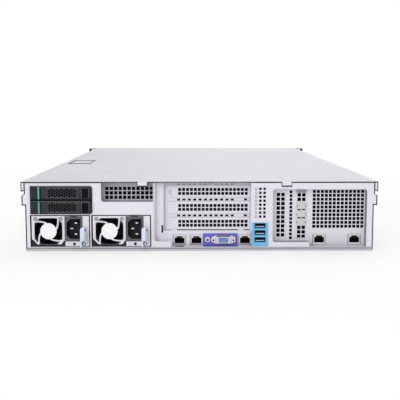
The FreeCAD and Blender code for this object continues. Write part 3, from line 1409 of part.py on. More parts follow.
pocket(carrier, sk, s.key_depth + s.key_travel)
strip_xs = (s.strip_left, s.strip_left + s.strip_width)
sk = rear_sketch(carrier, 0)
rectangle(sk, strip_xs, (0, s.carrier_height))
pocket(carrier, sk, s.strip_depth)
light_strip = box("light_strip", strip_xs, (0, s.strip_depth), (0, s.carrier_height))
pin_x = lever_xs[0] + s.lever_pin_inset
pin_y = s.lever_gap + s.lever_thickness / 2
sk = sketch_on(carrier, "XY_Plane", s.carrier_height - s.rim / 2)
polygon(sk, pin_x, pin_y, around(s.lever_pin + s.lever_gap, SHAFT), SHAFT)
pocket(carrier, sk, s.carrier_height - s.rim)
sk = rear_sketch(carrier, s.bezel_depth)
for x in (s.rail_inset, s.carrier_width - s.rail_inset - s.rail_thickness):
    rectangle(sk, (x, x + s.rail_thickness), (s.rim, s.carrier_height - s.rim))
pad(carrier, sk, s.rail_length)
drive_side = s.rail_inset + s.rail_thickness + s.drive_gap
drive_y = s.bezel_depth + s.drive_gap
drive_z = (s.carrier_height - s.small_drive_height) / 2
small_drive = box("small_drive", (drive_side, s.carrier_width - drive_side),
                  (drive_y, drive_y + s.small_drive_length), (drive_z, drive_z + s.small_drive_height))

lever = new_body("carrier_lever")
sk = rear_sketch(lever, s.lever_gap)
rectangle(sk, lever_xs, lever_zs)
pad(lever, sk, s.lever_thickness)
hex_x = lever_xs[0] + s.hex_inset
hex_z = lever_zs[0] + s.hex_foot
even_columns = (as_size(0), as_size(0), s.hex_columns)
odd_columns = (s.hex_column, s.hex_pitch / 2, s.hex_columns - 1)
for offset, lift, columns in (even_columns, odd_columns):
    sk = rear_sketch(lever, s.lever_gap)
    polygon(sk, hex_x + offset, hex_z + lift, s.hex_radius, 6)
    first = pocket(lever, sk, s.lever_thickness)
    field(lever, first, sk, columns, s.hex_column * 2, s.hex_rows, s.hex_pitch)
lever_pin = prism("lever_pin", "z", (pin_x, pin_y, s.rim / 2 + s.fit_gap), s.lever_pin,
                  s.carrier_height - s.rim - s.fit_gap * 2, SHAFT)
lever_whole = fuse("lever_whole", [lever, lever_pin])
key = box("carrier_key", key_xs, (-s.key_proud, s.key_depth - s.key_proud), lever_zs)

carrier_y = rear - s.carrier_proud
for i, z in enumerate(carrier_z[::-1], start=1):
    for suffix, links in (("", [carrier, light_strip, small_drive]),
                          ("_lever", [lever_whole]),
                          ("_button", [key])):
        label = f"rear_carrier_{i}{suffix}"
        node(label, group(label, links, carrier_x, carrier_y, z))

# Front bays: crate with a window for each carrier

bay_pitch = (inner_width - s.front_side * 2 - s.front_wall) / s.front_columns
bay_rise = (lid - s.front_head - s.sheet * 2 - s.front_wall) / s.front_rows
bay_x = left + s.front_side + s.front_wall
bay_z = s.sheet * 2 + s.front_wall
bay_width = bay_pitch - s.front_wall
bay_height = bay_rise - s.front_wall
cage_y = front - s.front_cage_depth
front_cage = new_body("front_cage")
sk = rear_sketch(front_cage, cage_y)
rectangle(sk, (left + s.front_side, right - s.front_side), (s.sheet, lid - s.front_head))
pad(front_cage, sk, s.front_cage_depth)
sk = rear_sketch(front_cage, cage_y)
rectangle(sk, (bay_x, bay_x + bay_width), (bay_z, bay_z + bay_height))
first = pocket(front_cage, sk, s.front_cage_depth)
field(front_cage, first, sk, s.front_columns, bay_pitch, s.front_rows, bay_rise)
node("front_bays", front_cage)

tray_width = bay_width - s.front_gap * 2
tray_height = bay_height - s.front_gap * 2
front_tray = new_body("front_carrier")
sk = rear_sketch(front_tray, s.front_seat)
rectangle(sk, (0, tray_width), (0, tray_height))
pad(front_tray, sk, s.front_bezel)
face_y = s.front_seat + s.front_bezel
well_xs = (s.front_well_inset, tray_width - s.front_key)
well_zs = (s.front_well_rim, tray_height - s.front_well_rim)
sk = rear_sketch(front_tray, face_y - s.front_well)
rectangle(sk, well_xs, well_zs)
pocket(front_tray, sk, s.front_well)
sk = rear_sketch(front_tray, s.front_seat)
slot_x = well_xs[0] + s.front_slot_inset
rectangle(sk, (slot_x, slot_x + s.front_slot), (well_zs[0] + s.front_slot_rim, well_zs[1] - s.front_slot_rim))
first = pocket(front_tray, sk, s.front_bezel)
row(front_tray, first, sk, "H_Axis", s.front_slots, s.front_slot_pitch)
sk = rear_sketch(front_tray, s.front_seat - s.front_tray)
for xs in ((0, s.front_rail), (tray_width - s.front_rail, tray_width)):
    rectangle(sk, xs, (s.front_gap, tray_height - s.front_gap))
pad(front_tray, sk, s.front_tray)
drive_xs = (s.front_rail + s.drive_gap, tray_width - s.front_rail - s.drive_gap)
big_drive = box("big_drive", drive_xs, (-s.big_drive_length, s.front_seat - s.drive_gap),
                (s.front_gap, tray_height - s.front_gap))
count = 0
for level in range(int(s.front_rows.value) - 1, -1, -1):
    for column in range(int(s.front_columns.value)):
        count += 1
        x = bay_x + bay_pitch * column + s.front_gap
        z = bay_z + bay_rise * level + s.front_gap
        node(f"front_carrier_{count}", group(f"front_carrier_{count}", [front_tray, big_drive], x, front, z))

# Rack ears, one each side, the left one with the power button

hole_zs = (height / 2 - s.rack_rise / 2, height / 2 + s.rack_rise / 2)
flange_y = front + s.ear_ahead
ear_face = flange_y + s.ear_sheet
power_x = -(wall + s.ear_block / 2)
power_y = ear_face + s.ear_block_depth


def ear(name, side):
    """Arm on the side wall, flange with two rack holes, block in front."""
    def xs(near, far):
        return (-far, -near) if side < 0 else (near, far)

    arm = box(name + "_arm", xs(wall, wall + s.ear_arm), (front - s.ear_arm_length, ear_face),
              (s.ear_arm_rise, s.ear_arm_rise + s.ear_arm_height))
    tall = (s.ear_drop, height - s.ear_drop)
    flange = box(name + "_flange", xs(wall, s.rack_span / 2), (flange_y, ear_face), tall)
    block = box(name + "_block", xs(wall, wall + s.ear_block), (flange_y, power_y),
                (s.ear_drop, height - s.ear_drop * 3))
    whole = fuse(name + "_whole", [arm, flange, block])
    tools = []
    for i, z in enumerate(hole_zs):
        start = (s.rack_pitch / 2 * side, flange_y - 1, z)
        tools.append(cylinder(f"{name}_hole_{i}", "y", start, s.rack_hole, s.ear_sheet + 2))
    if side < 0:
        tools.append(cylinder(name + "_well", "y", (power_x, power_y - s.power_well, s.power_rise),
                              s.power_radius + s.button_gap, s.power_well + 1))
    return cut(name, whole, tools)


node("left_ear", ear("left_ear", -1))
node("right_ear", ear("right_ear", 1))
power = cylinder("power", "y", (power_x, power_y + s.power_out - s.power_length, s.power_rise),
                 s.power_radius, s.power_length)
node("power_button", power)

# Top cover: sheet with rear tabs, a rail under each long edge and the tray that holds the lever

edge_x = wall + s.cover_overhang
pieces = [box("cover_skin", (-edge_x, edge_x), (rear, front), (lid, height))]
tab_y = rear - s.tab_gap
for i, offset in enumerate((s.tab_left, s.tab_right)):
    xs = (offset - edge_x, offset - edge_x + s.tab_width)
    pieces.append(box(f"tab_top_{i}", xs, (tab_y - s.cover_sheet, rear + s.cover_sheet), (lid, height)))
    pieces.append(box(f"tab_{i}", xs, (tab_y - s.cover_sheet, tab_y), (height - s.tab_drop, height)))
well_xs = (s.well_left - edge_x, s.well_left - edge_x + s.well_width)
well_ys = (rear + s.well_start, rear + s.well_start + s.well_length)
well_low = height - s.well_depth
well = box("well", well_xs, well_ys, (well_low, height + 1))
rails = [box(f"cover_rail_{i}", xs, (rear, front), (height - s.skirt_height, lid))
         for i, xs in enumerate([(-edge_x, s.cover_sheet - edge_x), (edge_x - s.cover_sheet, edge_x)])]
tray_block = box("tray_block", (well_xs[0] - s.cover_sheet, well_xs[1] + s.cover_sheet),
                 (well_ys[0] - s.cover_sheet, well_ys[1] + s.cover_sheet), (well_low - s.cover_sheet, lid))
handle_axis_y = well_ys[1] - s.handle_gap - s.handle_pin_inset
handle_axis_z = height - s.handle_sink - s.handle_thickness / 2
well_pin = prism("well_pin", "x", (well_xs[0] - s.cover_sheet - 1, handle_axis_y, handle_axis_z),
                 around(s.handle_pin + s.handle_pin_gap, ROUND), s.well_width + s.cover_sheet * 2 + 2, ROUND)
cover_top = cut("cover_top", fuse("cover_whole", pieces), [well, well_pin])
tray = cut("lever_tray", tray_block, [well, well_pin])
node("top_cover", group("top_cover", [cover_top] + rails + [tray]))

# Cover lever: plate with a pin across its front end

handle_plate = box("handle_plate", (well_xs[0] + s.handle_gap, well_xs[1] - s.handle_gap),
                   (well_ys[0] + s.handle_end, well_ys[1] - s.handle_gap),
                   (height - s.handle_sink - s.handle_thickness, height - s.handle_sink))
handle_pin = prism("handle_pin", "x", (well_xs[0] - s.cover_sheet, handle_axis_y, handle_axis_z),
                   s.handle_pin, s.well_width + s.cover_sheet * 2, ROUND)
node("cover_lever", fuse("cover_lever", [handle_plate, handle_pin]))

# Fan wall with four bores and motor mounts, and its rotors

fan_y = rear + s.fan_wall_start
fan_xs = [s.fan_pitch * (i - (int(s.fan_count.value) - 1) / 2) for i in range(int(s.fan_count.value))]
mid_z = (s.sheet + lid - s.front_head) / 2
wall_block = box("fan_wall_block", (left + s.front_side, right - s.front_side),
                 (fan_y, fan_y + s.fan_wall_depth), (s.sheet, lid - s.front_head))
bores = []
mounts = []
fan_motor_y = fan_y + s.fan_wall_depth - s.motor_depth
fan_spindle = s.fan_length / 2
for i, x in enumerate(fan_xs):
    bores.append(prism(f"fan_bore_{i}", "y", (x, fan_y - 1, mid_z), s.fan_radius, s.fan_wall_depth + 2, RING))
    mounts.extend(motor(f"fan_motor_{i}", x, mid_z, fan_motor_y, s.fan_radius, s.fan_motor, fan_spindle))
fan_hollow = cut("fan_hollow", wall_block, bores)
node("fan_wall", fuse("fan_wall", [fan_hollow] + mounts))
fan_rotor = rotor("fan_rotor", s.fan_hub, s.fan_tip, s.fan_length, s.fan_chord, s.fan_blades,
                  fan_spindle + s.rotor_gap)
rotor_y = fan_motor_y - s.rotor_gap - s.fan_length
for i, x in enumerate(fan_xs, start=1):
    node(f"fan_rotor_{i}", group(f"fan_rotor_{i}", [fan_rotor], x, rotor_y, mid_z))

# Main board with its standoffs

board = new_body("board")
board_rear = rear + s.board_start
board_mid = rear + s.board_wide
board_front = rear + s.board_end
board_left = io_left + s.board_side
sk = sketch_on(board, "XY_Plane", board_z)
outline(sk, [
    (board_left, board_rear),
    (right - s.board_side, board_rear),
    (right - s.board_side, board_front),
    (left + s.board_side, board_front),
    (left + s.board_side, board_mid),
    (board_left, board_mid),
])
pad(board, sk, s.board_thickness, against=False)
sk = sketch_on(board, "XY_Plane", s.sheet)
for x in (left + s.board_side * 4, right - s.board_side * 4):
    polygon(sk, x, board_front - s.board_side * 4, s.standoff, 6)
    polygon(sk, x, board_mid + s.board_side * 4, s.standoff, 6)
for x in (board_left + s.board_side * 4, right - s.board_side * 4):
    polygon(sk, x, board_rear + s.board_side * 4, s.standoff, 6)
pad(board, sk, s.board_lift + s.board_thickness / 2, against=False)
node("main_board", board)

# Processor coolers and memory

cooler = new_body("cooler")
sk = rear_sketch(cooler, 0)
rectangle(sk, (0, s.cpu_width), (0, s.cpu_base))
pad(cooler, sk, s.cpu_length)
sk = rear_sketch(cooler, 0)
rectangle(sk, (0, s.cpu_fin), (s.cpu_base / 2, s.cpu_height))
fin = pad(cooler, sk, s.cpu_length)
row(cooler, fin, sk, "H_Axis", s.cpu_fins, (s.cpu_width - s.cpu_fin) / (s.cpu_fins - 1))
coolers = []
modules = []
for side in (-1, 1):
    x = s.cpu_spread * side
    coolers.append(group("cooler_at", [cooler], x - s.cpu_width / 2, rear + s.cpu_start, board_top))
    for flank in (-1, 1):
        for i in range(int(s.memory_count.value)):
            centre = x + (s.cpu_width / 2 + s.memory_first + s.memory_pitch * i) * flank
            modules.append(box("module", (centre - s.memory_thickness / 2, centre + s.memory_thickness / 2),
                               (rear + s.memory_start, rear + s.memory_start + s.memory_length),
                               (board_top, board_top + s.memory_height)))
node("processor_coolers", group("processor_coolers", coolers))
node("memory_modules", group("memory_modules", modules))

# Boards behind the bays and in the riser

plane_y = cage_y - s.plane_gap - s.plane_thickness
front_plane = box("front_plane", (left + s.front_side, right - s.front_side),
                  (plane_y, plane_y + s.plane_thickness), (s.sheet, lid - s.front_head))
gaps = []
for column in range(int(s.front_columns.value)):
    x = bay_x + bay_pitch * column + bay_width * 0.6
    gaps.append(box(f"plane_gap_{column}", (x, x + bay_width / 3),
                    (plane_y - 1, plane_y + s.plane_thickness + 1),
                    (bay_z + bay_height / 2, bay_z + bay_rise * (s.front_rows - 1) + bay_height / 2)))
planes = [cut("front_plane_open", front_plane, gaps)]
big_end = front - s.big_drive_length - s.plug_space
for level in range(int(s.front_rows.value)):
    for column in range(int(s.front_columns.value)):
        x = bay_x + bay_pitch * column + s.front_rail * 3
        z = bay_z + bay_rise * level + s.front_rail
        planes.append(box(f"big_plug_{level}_{column}", (x, x + bay_width / 2),
                          (plane_y + s.plane_thickness / 2, big_end), (z, z + s.plug_height / 2)))
node("front_backplane", fuse("front_backplane", planes))
small_plane_y = panel_back + s.drive_bay_depth + s.plane_gap
planes = [box("small_plane", (carrier_x, carrier_x + s.carrier_width),
              (small_plane_y, small_plane_y + s.plane_thickness),
              (shelf + s.cage_sheet + s.fit_gap, bay_top))]
small_end = carrier_y + drive_y + s.small_drive_length + s.plug_space
small_xs = (carrier_x + s.carrier_width / 4, carrier_x + s.carrier_width * 3 / 4)
for i, z in enumerate(carrier_z):
    planes.append(box(f"small_plug_{i}", small_xs, (small_end, small_plane_y + s.plane_thickness / 2),
                      (z + s.rim * 2, z + s.carrier_height / 2)))
node("rear_backplane", fuse("rear_backplane", planes))
power_plane_y = panel_back + s.cage_depth + s.plane_gap
planes = [box("power_plane", (left + s.side_margin, crate_right),
              (power_plane_y, power_plane_y + s.plane_thickness), (s.sheet, shelf))]
for i, x in enumerate(psu_x):
    planes.append(box(f"power_plug_{i}", (x + s.psu_width / 4, x + s.psu_width * 3 / 4),
                      (rear + s.psu_depth + s.plug_space, power_plane_y + s.plane_thickness / 2),
                      (psu_z + s.psu_height / 4, psu_z + s.psu_height / 2)))
node("power_board", fuse("power_board", planes))
riser_plane = box("riser_plane", (riser_left + s.plane_gap, riser_left + s.plane_gap + s.riser_board),
                  (rear + s.riser_board_start, rear + s.riser_board_start + s.riser_board_length),
                  (board_top, panel_top - s.sheet))
node("riser_board", riser_plane)

# Check every object and write the pieces

doc.recompute()
for obj in doc.Objects:
    if "Invalid" in obj.State or "Error" in obj.State:
        raise RuntimeError(f"{obj.Name} ({obj.Label}) does not compute: {obj.State}")
os.makedirs("parts", exist_ok=True)
for label, obj in nodes:
    if obj.Shape.isNull() or not obj.Shape.isValid():
        raise RuntimeError(f"{label} has no valid shape")
    obj.Shape.exportStep(f"parts/{label}.step")
print(len(nodes), "pieces")
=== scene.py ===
import math

import bmesh
import bpy
from mathutils import Matrix, Vector


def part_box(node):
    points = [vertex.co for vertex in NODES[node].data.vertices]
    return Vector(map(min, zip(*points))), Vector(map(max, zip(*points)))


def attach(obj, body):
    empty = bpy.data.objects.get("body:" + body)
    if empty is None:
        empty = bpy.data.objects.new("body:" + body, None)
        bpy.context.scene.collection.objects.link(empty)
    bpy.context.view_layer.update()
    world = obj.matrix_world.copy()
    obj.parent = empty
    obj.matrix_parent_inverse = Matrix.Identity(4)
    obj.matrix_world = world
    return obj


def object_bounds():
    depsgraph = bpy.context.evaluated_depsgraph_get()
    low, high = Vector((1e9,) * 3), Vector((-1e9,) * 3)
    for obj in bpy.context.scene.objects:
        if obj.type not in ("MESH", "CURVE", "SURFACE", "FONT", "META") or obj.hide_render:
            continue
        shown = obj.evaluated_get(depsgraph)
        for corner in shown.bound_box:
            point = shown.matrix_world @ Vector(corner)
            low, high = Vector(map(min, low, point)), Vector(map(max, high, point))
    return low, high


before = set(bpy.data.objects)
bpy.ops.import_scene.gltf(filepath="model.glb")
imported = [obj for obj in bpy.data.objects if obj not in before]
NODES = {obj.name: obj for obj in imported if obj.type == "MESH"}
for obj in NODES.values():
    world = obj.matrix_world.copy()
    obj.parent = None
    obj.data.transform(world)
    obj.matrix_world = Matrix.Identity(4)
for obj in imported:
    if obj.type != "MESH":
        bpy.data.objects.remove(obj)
cad_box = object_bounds()

MM = 0.001
TO_REAR = (0, -1, 0)
TO_FRONT = (0, 1, 0)


# Materials

HIGHLIGHT_RADIUS = 0.0005        # width in metres of the painted highlight along an edge
EDGE_DOT = (0.72, 0.98)     # rounded against flat normal: at an edge, away from it
GRAIN_SCALE = 1400.0        # grains in a metre
GRAIN_DEPTH = 0.00004       # relief of the grain in metres
ROUGH_DRIFT = 0.07          # roughness either side of its mean
TRACK_SCALE = 260.0         # cells of a board's tracks in a metre
PAD_SCALE = 130.0           # cells with a solder pad each, in a metre
SOLDER = (0.55, 0.5, 0.36, 1.0)


def shade(colour, factor):
    return tuple(min(1.0, max(0.0, c * factor)) for c in colour) + (1.0,)


class Graph:
    """A material's node tree with short calls for the nodes used here."""

    def __init__(self, name):
        self.material = bpy.data.materials.new(name)
        self.material.use_nodes = True
        self.tree = self.material.node_tree
        self.shader = self.tree.nodes["Principled BSDF"]
        self.coords = self.add("ShaderNodeTexCoord").outputs["Object"]

    def add(self, kind, **values):
        node = self.tree.nodes.new(kind)
        for key, value in values.items():
            setattr(node, key, value)
        return node

    def link(self, source, target):
        self.tree.links.new(source, target)

    def set(self, **values):
        """Plain values on the shader's own sockets; an underscore stands for a space."""
        for key, value in values.items():
            self.shader.inputs[key.replace("_", " ")].default_value = value

    def noise(self, scale, detail=3.0, rough=0.55, stretch=None):
        source = self.coords
        if stretch:
            mapping = self.add("ShaderNodeMapping")
            mapping.inputs["Scale"].default_value = stretch
            self.link(self.coords, mapping.inputs["Vector"])
            source = mapping.outputs["Vector"]
        node = self.add("ShaderNodeTexNoise")
        node.inputs["Scale"].default_value = scale
        node.inputs["Detail"].default_value = detail
        node.inputs["Roughness"].default_value = rough
        self.link(source, node.inputs["Vector"])
        return node.outputs["Fac"]

    def cells(self, scale, distance="EUCLIDEAN"):
        node = self.add("ShaderNodeTexVoronoi", distance=distance)
        node.inputs["Scale"].default_value = scale
        self.link(self.coords, node.inputs["Vector"])
        return node.outputs["Distance"]

    def ramp(self, fac, low, high, start=0.3, end=0.7):
        node = self.add("ShaderNodeValToRGB")
        node.color_ramp.elements[0].position = start
        node.color_ramp.elements[0].color = low
        node.color_ramp.elements[1].position = end
        node.color_ramp.elements[1].color = high
        self.link(fac, node.inputs["Fac"])
        return node.outputs["Color"]

    def spread(self, fac, low, high, start=0.25, end=0.75):
        node = self.add("ShaderNodeMapRange")
        node.inputs["From Min"].default_value = start
        node.inputs["From Max"].default_value = end
        node.inputs["To Min"].default_value = low
        node.inputs["To Max"].default_value = high
        self.link(fac, node.inputs["Value"])
        return node.outputs["Result"]

    def blend(self, fac, first, colour):
        """A texture's colour that gives way to one plain colour where fac is 1."""
        node = self.add("ShaderNodeMix", data_type="RGBA")
        self.link(fac, node.inputs["Factor"])
        self.link(first, node.inputs["A"])
        node.inputs["B"].default_value = colour
        return node.outputs["Result"]

    def edges(self, radius):
        """How far the rounded normal leaves the flat one: 1 along an edge, 0 elsewhere."""
        bevel = self.add("ShaderNodeBevel", samples=4)
        bevel.inputs["Radius"].default_value = radius
        geometry = self.add("ShaderNodeNewGeometry")
        dot = self.add("ShaderNodeVectorMath", operation="DOT_PRODUCT")
        self.link(bevel.outputs["Normal"], dot.inputs[0])
        self.link(geometry.outputs["Normal"], dot.inputs[1])
        return self.spread(dot.outputs["Value"], 1.0, 0.0, *EDGE_DOT)

    def bump(self, fac, strength, distance):
        node = self.add("ShaderNodeBump")
        node.inputs["Strength"].default_value = strength
        node.inputs["Distance"].default_value = distance
        self.link(fac, node.inputs["Height"])
        self.link(node.outputs["Normal"], self.shader.inputs["Normal"])


def surface(name, colour, rough, metallic=0.0, mottle=0.05, size=0.05, grain=0.25, stretch=None,
            edge=None, coat=0.0, specular=0.4):
    """A sheet or moulding: broad drift of tone, fine grain in roughness and relief, and painted highlights
    along the edges.

    size is the width in metres of the broad drift; edge is the colour of the painted highlight along the
    edges."""
    g = Graph(name)
    base = g.ramp(g.noise(1.0 / size), shade(colour, 1 - mottle), shade(colour, 1 + mottle))
    # Painted highlight along the edges, where an edge colour is given.
    if edge:
        base = g.blend(g.edges(HIGHLIGHT_RADIUS), base, edge + (1.0,))
    g.link(base, g.shader.inputs["Base Color"])
    fine = g.noise(GRAIN_SCALE, 2.0, stretch=stretch)
    g.link(g.spread(fine, rough - ROUGH_DRIFT, rough + ROUGH_DRIFT), g.shader.inputs["Roughness"])
    g.bump(fine, grain, GRAIN_DEPTH)
    g.set(Metallic=metallic, Coat_Weight=coat, Specular_IOR_Level=specular)
    return g.material


def circuit(name, colour):
    """A circuit board: solder mask with a fine lattice of tracks and small pale pads."""
    g = Graph(name)
    lattice = g.cells(TRACK_SCALE, "MANHATTAN")
    tracks = g.ramp(lattice, shade(colour, 0.7), shade(colour, 1.35), 0.2, 0.5)
    pads = g.spread(g.cells(PAD_SCALE), 1.0, 0.0, 0.08, 0.12)
    g.link(g.blend(pads, tracks, SOLDER), g.shader.inputs["Base Color"])
    g.link(g.spread(g.noise(300.0), 0.35, 0.5), g.shader.inputs["Roughness"])
    g.bump(lattice, 0.2, 0.0001)
    g.set(Specular_IOR_Level=0.2)
    return g.material


PALE = surface("zinc_sheet", (0.72, 0.705, 0.765), rough=0.5, mottle=0.02, size=0.09)
COVER = surface("cover_sheet", (0.60, 0.58, 0.635), rough=0.62, mottle=0.025, size=0.12, specular=0.12)
# Vent grey: the pale sheet darkened as painted shade for the vent's recess, and a painted shadow line under a
# slot cover.
VENT_SHADE = surface("vent_painted_shade", (0.58, 0.575, 0.635), rough=0.5, mottle=0.04, size=0.05)
# Dark grey painted shade: outlines of edges, walls of openings, and lines and rings where shade falls beside
# and under parts.
DARK_SHADE = surface("painted_dark_shade", (0.055, 0.053, 0.063), rough=0.5, mottle=0.15, size=0.03, specular=0.2)
# Near black painted shadow: outlines along rear edges of walls and cover, lines in the gaps round the power
# supplies and round the lever's well.
SHADOW_OUTLINE = surface("painted_shadow_outline", (0.010, 0.010, 0.013), rough=0.6, mottle=0.15, size=0.03, specular=0.1)
# Near black painted shade at the foot of the power supplies' guards and in the gaps beside the port plugs.
NEAR_BLACK_SHADE = surface("painted_near_black_shade", (0.022, 0.019, 0.024), rough=0.6, mottle=0.2, size=0.006, specular=0.15)
# Dark grey painted shade on the inside faces of the case and cover.
INSIDE_SHADE = surface("inside_painted_shade", (0.085, 0.084, 0.092), rough=0.6, mottle=0.1, size=0.05, specular=0.2)
# Near black painted shade on the walls of holes through the rear plates.
HOLE_SHADE = surface("shaded_hole_wall", (0.010, 0.0097, 0.012), rough=0.6, mottle=0.15, size=0.02, specular=0.1)
# Mid grey of the lip at the foot of the rear, also used as painted shade on sills, recess walls, cover
# bottoms and under parts.
LIP_AND_SHADE = surface("rear_lip", (0.50, 0.49, 0.54), rough=0.45, metallic=0.1, mottle=0.06, size=0.05)
# Grey painted shade on recess walls and sills, at the sides and feet of jack mouths, round screw heads and on
# a bracket's top bend.
GREY_SHADE = surface("painted_grey_shade", (0.30, 0.295, 0.335), rough=0.5, mottle=0.08, size=0.02, specular=0.2)
BRIGHT = surface("bright_plate", (0.67, 0.66, 0.70), rough=0.34, metallic=0.35, mottle=0.04, size=0.03,
                 stretch=(1.0, 1.0, 0.03))
CASE = surface("case_sheet", (0.54, 0.535, 0.565), rough=0.5, metallic=0.1, mottle=0.05, size=0.03,
               specular=0.2)
GUARD = surface("guard_steel", (0.83, 0.83, 0.865), rough=0.34, metallic=0.3, mottle=0.02, size=0.02,
                edge=(0.93, 0.93, 0.95))
ZINC = surface("galvanised_sheet", (0.48, 0.48, 0.51), rough=0.5, metallic=0.1, mottle=0.07, size=0.02,
               specular=0.2)
BLACK = surface("black_moulding", (0.014, 0.013, 0.017), rough=0.42, mottle=0.2, size=0.01)
BEZEL = surface("charcoal_bezel", (0.021, 0.020, 0.029), rough=0.55, mottle=0.12, size=0.02,
                edge=(0.10, 0.098, 0.115), specular=0.15)
BUTTON = surface("button_moulding", (0.004, 0.0035, 0.007), rough=0.55, mottle=0.15, size=0.01,
                 edge=(0.05, 0.049, 0.06), specular=0.06)
LEVER = surface("lever_casting", (0.033, 0.032, 0.037), rough=0.5, mottle=0.1, size=0.01, specular=0.15)
# Painted highlight along the edges of the carriers' levers, buttons and bezels.
RIM_HIGHLIGHT = surface("painted_rim_highlight", (0.12, 0.118, 0.13), rough=0.45, mottle=0.08, size=0.01, specular=0.2)
# Steel darkened as painted shade for pins and contacts deep in their sockets, with a painted highlight along
# their edges.
PIN_SHADE = surface("pin_painted_shade", (0.10, 0.10, 0.115), rough=0.35, metallic=0.5, mottle=0.08, size=0.005,
              edge=(0.30, 0.30, 0.33))
HOUSING = surface("inlet_moulding", (0.085, 0.082, 0.098), rough=0.5, mottle=0.08, size=0.01,
                  edge=(0.19, 0.185, 0.21))
# Inlet moulding darkened as painted shade in the inlet's well.
WELL_SHADE = surface("inlet_well_painted_shade", (0.036, 0.034, 0.043), rough=0.6, mottle=0.15, size=0.01, specular=0.15)
# Black painted shade in deep openings: mouths, bores, slots, holes, and what is seen through them.
BLACK_SHADE = surface("painted_black_shade", (0.006, 0.006, 0.009), rough=0.7, mottle=0.2, size=0.01, specular=0.1)
LATCH = surface("latch_moulding", (0.66, 0.71, 0.90), rough=0.35, mottle=0.04, size=0.01,
                edge=(0.86, 0.89, 0.98))
VIOLET = surface("video_plate_paint", (0.112, 0.114, 0.53), rough=0.45, mottle=0.08, size=0.01,
                 edge=(0.26, 0.25, 0.66))
SKY = surface("socket_plate_paint", (0.15, 0.45, 0.72), rough=0.45, mottle=0.06, size=0.01,
              edge=(0.32, 0.62, 0.86))
D_SHELL = surface("socket_shell", (0.70, 0.68, 0.72), rough=0.35, metallic=0.3, mottle=0.05, size=0.005,
                  edge=(0.90, 0.89, 0.92))
D_CORE = surface("video_insert", (0.16, 0.25, 0.66), rough=0.45, mottle=0.06, size=0.005)
NAVY = surface("socket_navy", (0.010, 0.014, 0.040), rough=0.4, mottle=0.1, size=0.005,
               edge=(0.07, 0.12, 0.26))
TONGUE = surface("socket_tongue", (0.42, 0.66, 0.92), rough=0.45, mottle=0.06, size=0.005)
CREAM = surface("port_plug", (0.60, 0.56, 0.555), rough=0.5, mottle=0.10, size=0.004,
                edge=(0.80, 0.77, 0.76))
WHITE = surface("white_ring", (0.84, 0.85, 0.91), rough=0.35, mottle=0.03, size=0.005)
TEAL = surface("teal_strip", (0.065, 0.44, 0.33), rough=0.4, mottle=0.06, size=0.005)
STEEL = surface("plain_steel", (0.50, 0.50, 0.53), rough=0.35, metallic=0.4, mottle=0.05, size=0.01,
                edge=(0.70, 0.70, 0.73))
DRIVE = surface("drive_casting", (0.42, 0.42, 0.44), rough=0.5, metallic=0.15, mottle=0.06, size=0.03,
                specular=0.2)
# Cooler fins painted dark as shade for what shows of them through the holes.
FIN_SHADE = surface("fins_painted_shade", (0.10, 0.10, 0.11), rough=0.45, metallic=0.4, mottle=0.06, size=0.03)
SHIELD = surface("jack_shield", (0.66, 0.64, 0.66), rough=0.4, metallic=0.2, mottle=0.05, size=0.01,
                 edge=(0.86, 0.85, 0.86))
SAGE = surface("latch_side", (0.40, 0.44, 0.45), rough=0.45, mottle=0.06, size=0.005,
               edge=(0.70, 0.72, 0.74))
GOLD = surface("contact_gold", (0.45, 0.33, 0.12), rough=0.35, metallic=0.8, mottle=0.05, size=0.005)
LENS = surface("lamp_lens", (0.10, 0.42, 0.22), rough=0.2, mottle=0.06, size=0.003, coat=0.5)
BOARD = circuit("circuit_board", (0.010, 0.038, 0.026))
MODULE = circuit("memory_board", (0.012, 0.045, 0.028))


# Faces and boxes of the CAD nodes. All sizes and places are in millimetres.

FLAT = 0.9          # least share of a normal along an axis where a face looks that way
ALONG = 0.2         # largest share of it along Y on the walls of a hole through a rear plate
ROUNDED = 0.6       # least share of it on a rounded corner that still belongs to a side
NEAR = 0.1          # room for a face's centre to lie off a plane
WELD = 0.001        # points closer than this are one
SHEET = 1.2         # thickness of the case's sheet


def mm_box(node):
    low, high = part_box(node)
    return low / MM, high / MM


def middle(box):
    return (box[0] + box[1]) / 2


def clusters(node, test=None):
    """Boxes (low, high) of a node's separate solids, or of the joined faces that pass the test, in order."""
    bm = bmesh.new()
    bm.from_mesh(NODES[node].data)
    bmesh.ops.remove_doubles(bm, verts=bm.verts, dist=WELD * MM)
    waiting = {face for face in bm.faces if test is None or test(face.calc_center_median() / MM, face.normal)}
    boxes = []
    while waiting:
        group = [waiting.pop()]
        for face in group:
            near = {other for edge in face.edges for other in edge.link_faces} & waiting
            waiting -= near
            group.extend(near)
        points = [[round(value / MM, 3) for value in vert.co] for face in group for vert in face.verts]
        boxes.append([[limit(values) for values in zip(*points)] for limit in (min, max)])
    bm.free()
    return [(Vector(low), Vector(high)) for low, high in sorted(boxes)]


def looks_rear(n):
    return n.y < -FLAT


def looks_up(n):
    return n.z > FLAT


def looks_down(n):
    return n.z < -FLAT


def inside(low, high, margin=0.0):
    """Faces whose centre is in a box, at least margin from its sides."""
    return lambda p, n: all(a + margin <= c <= b - margin for a, b, c in zip(low, high, p))


def shaded_hole_wall(low, high):
    """Walls of the holes through a rear plate, in a box, where shade is painted."""
    return lambda p, n: abs(n.y) < ALONG and all(a < c < b for a, b, c in zip(low, high, p))


def any_of(tests):
    """Faces that pass at least one of the tests."""
    tests = list(tests)
    return lambda p, n: any(test(p, n) for test in tests)


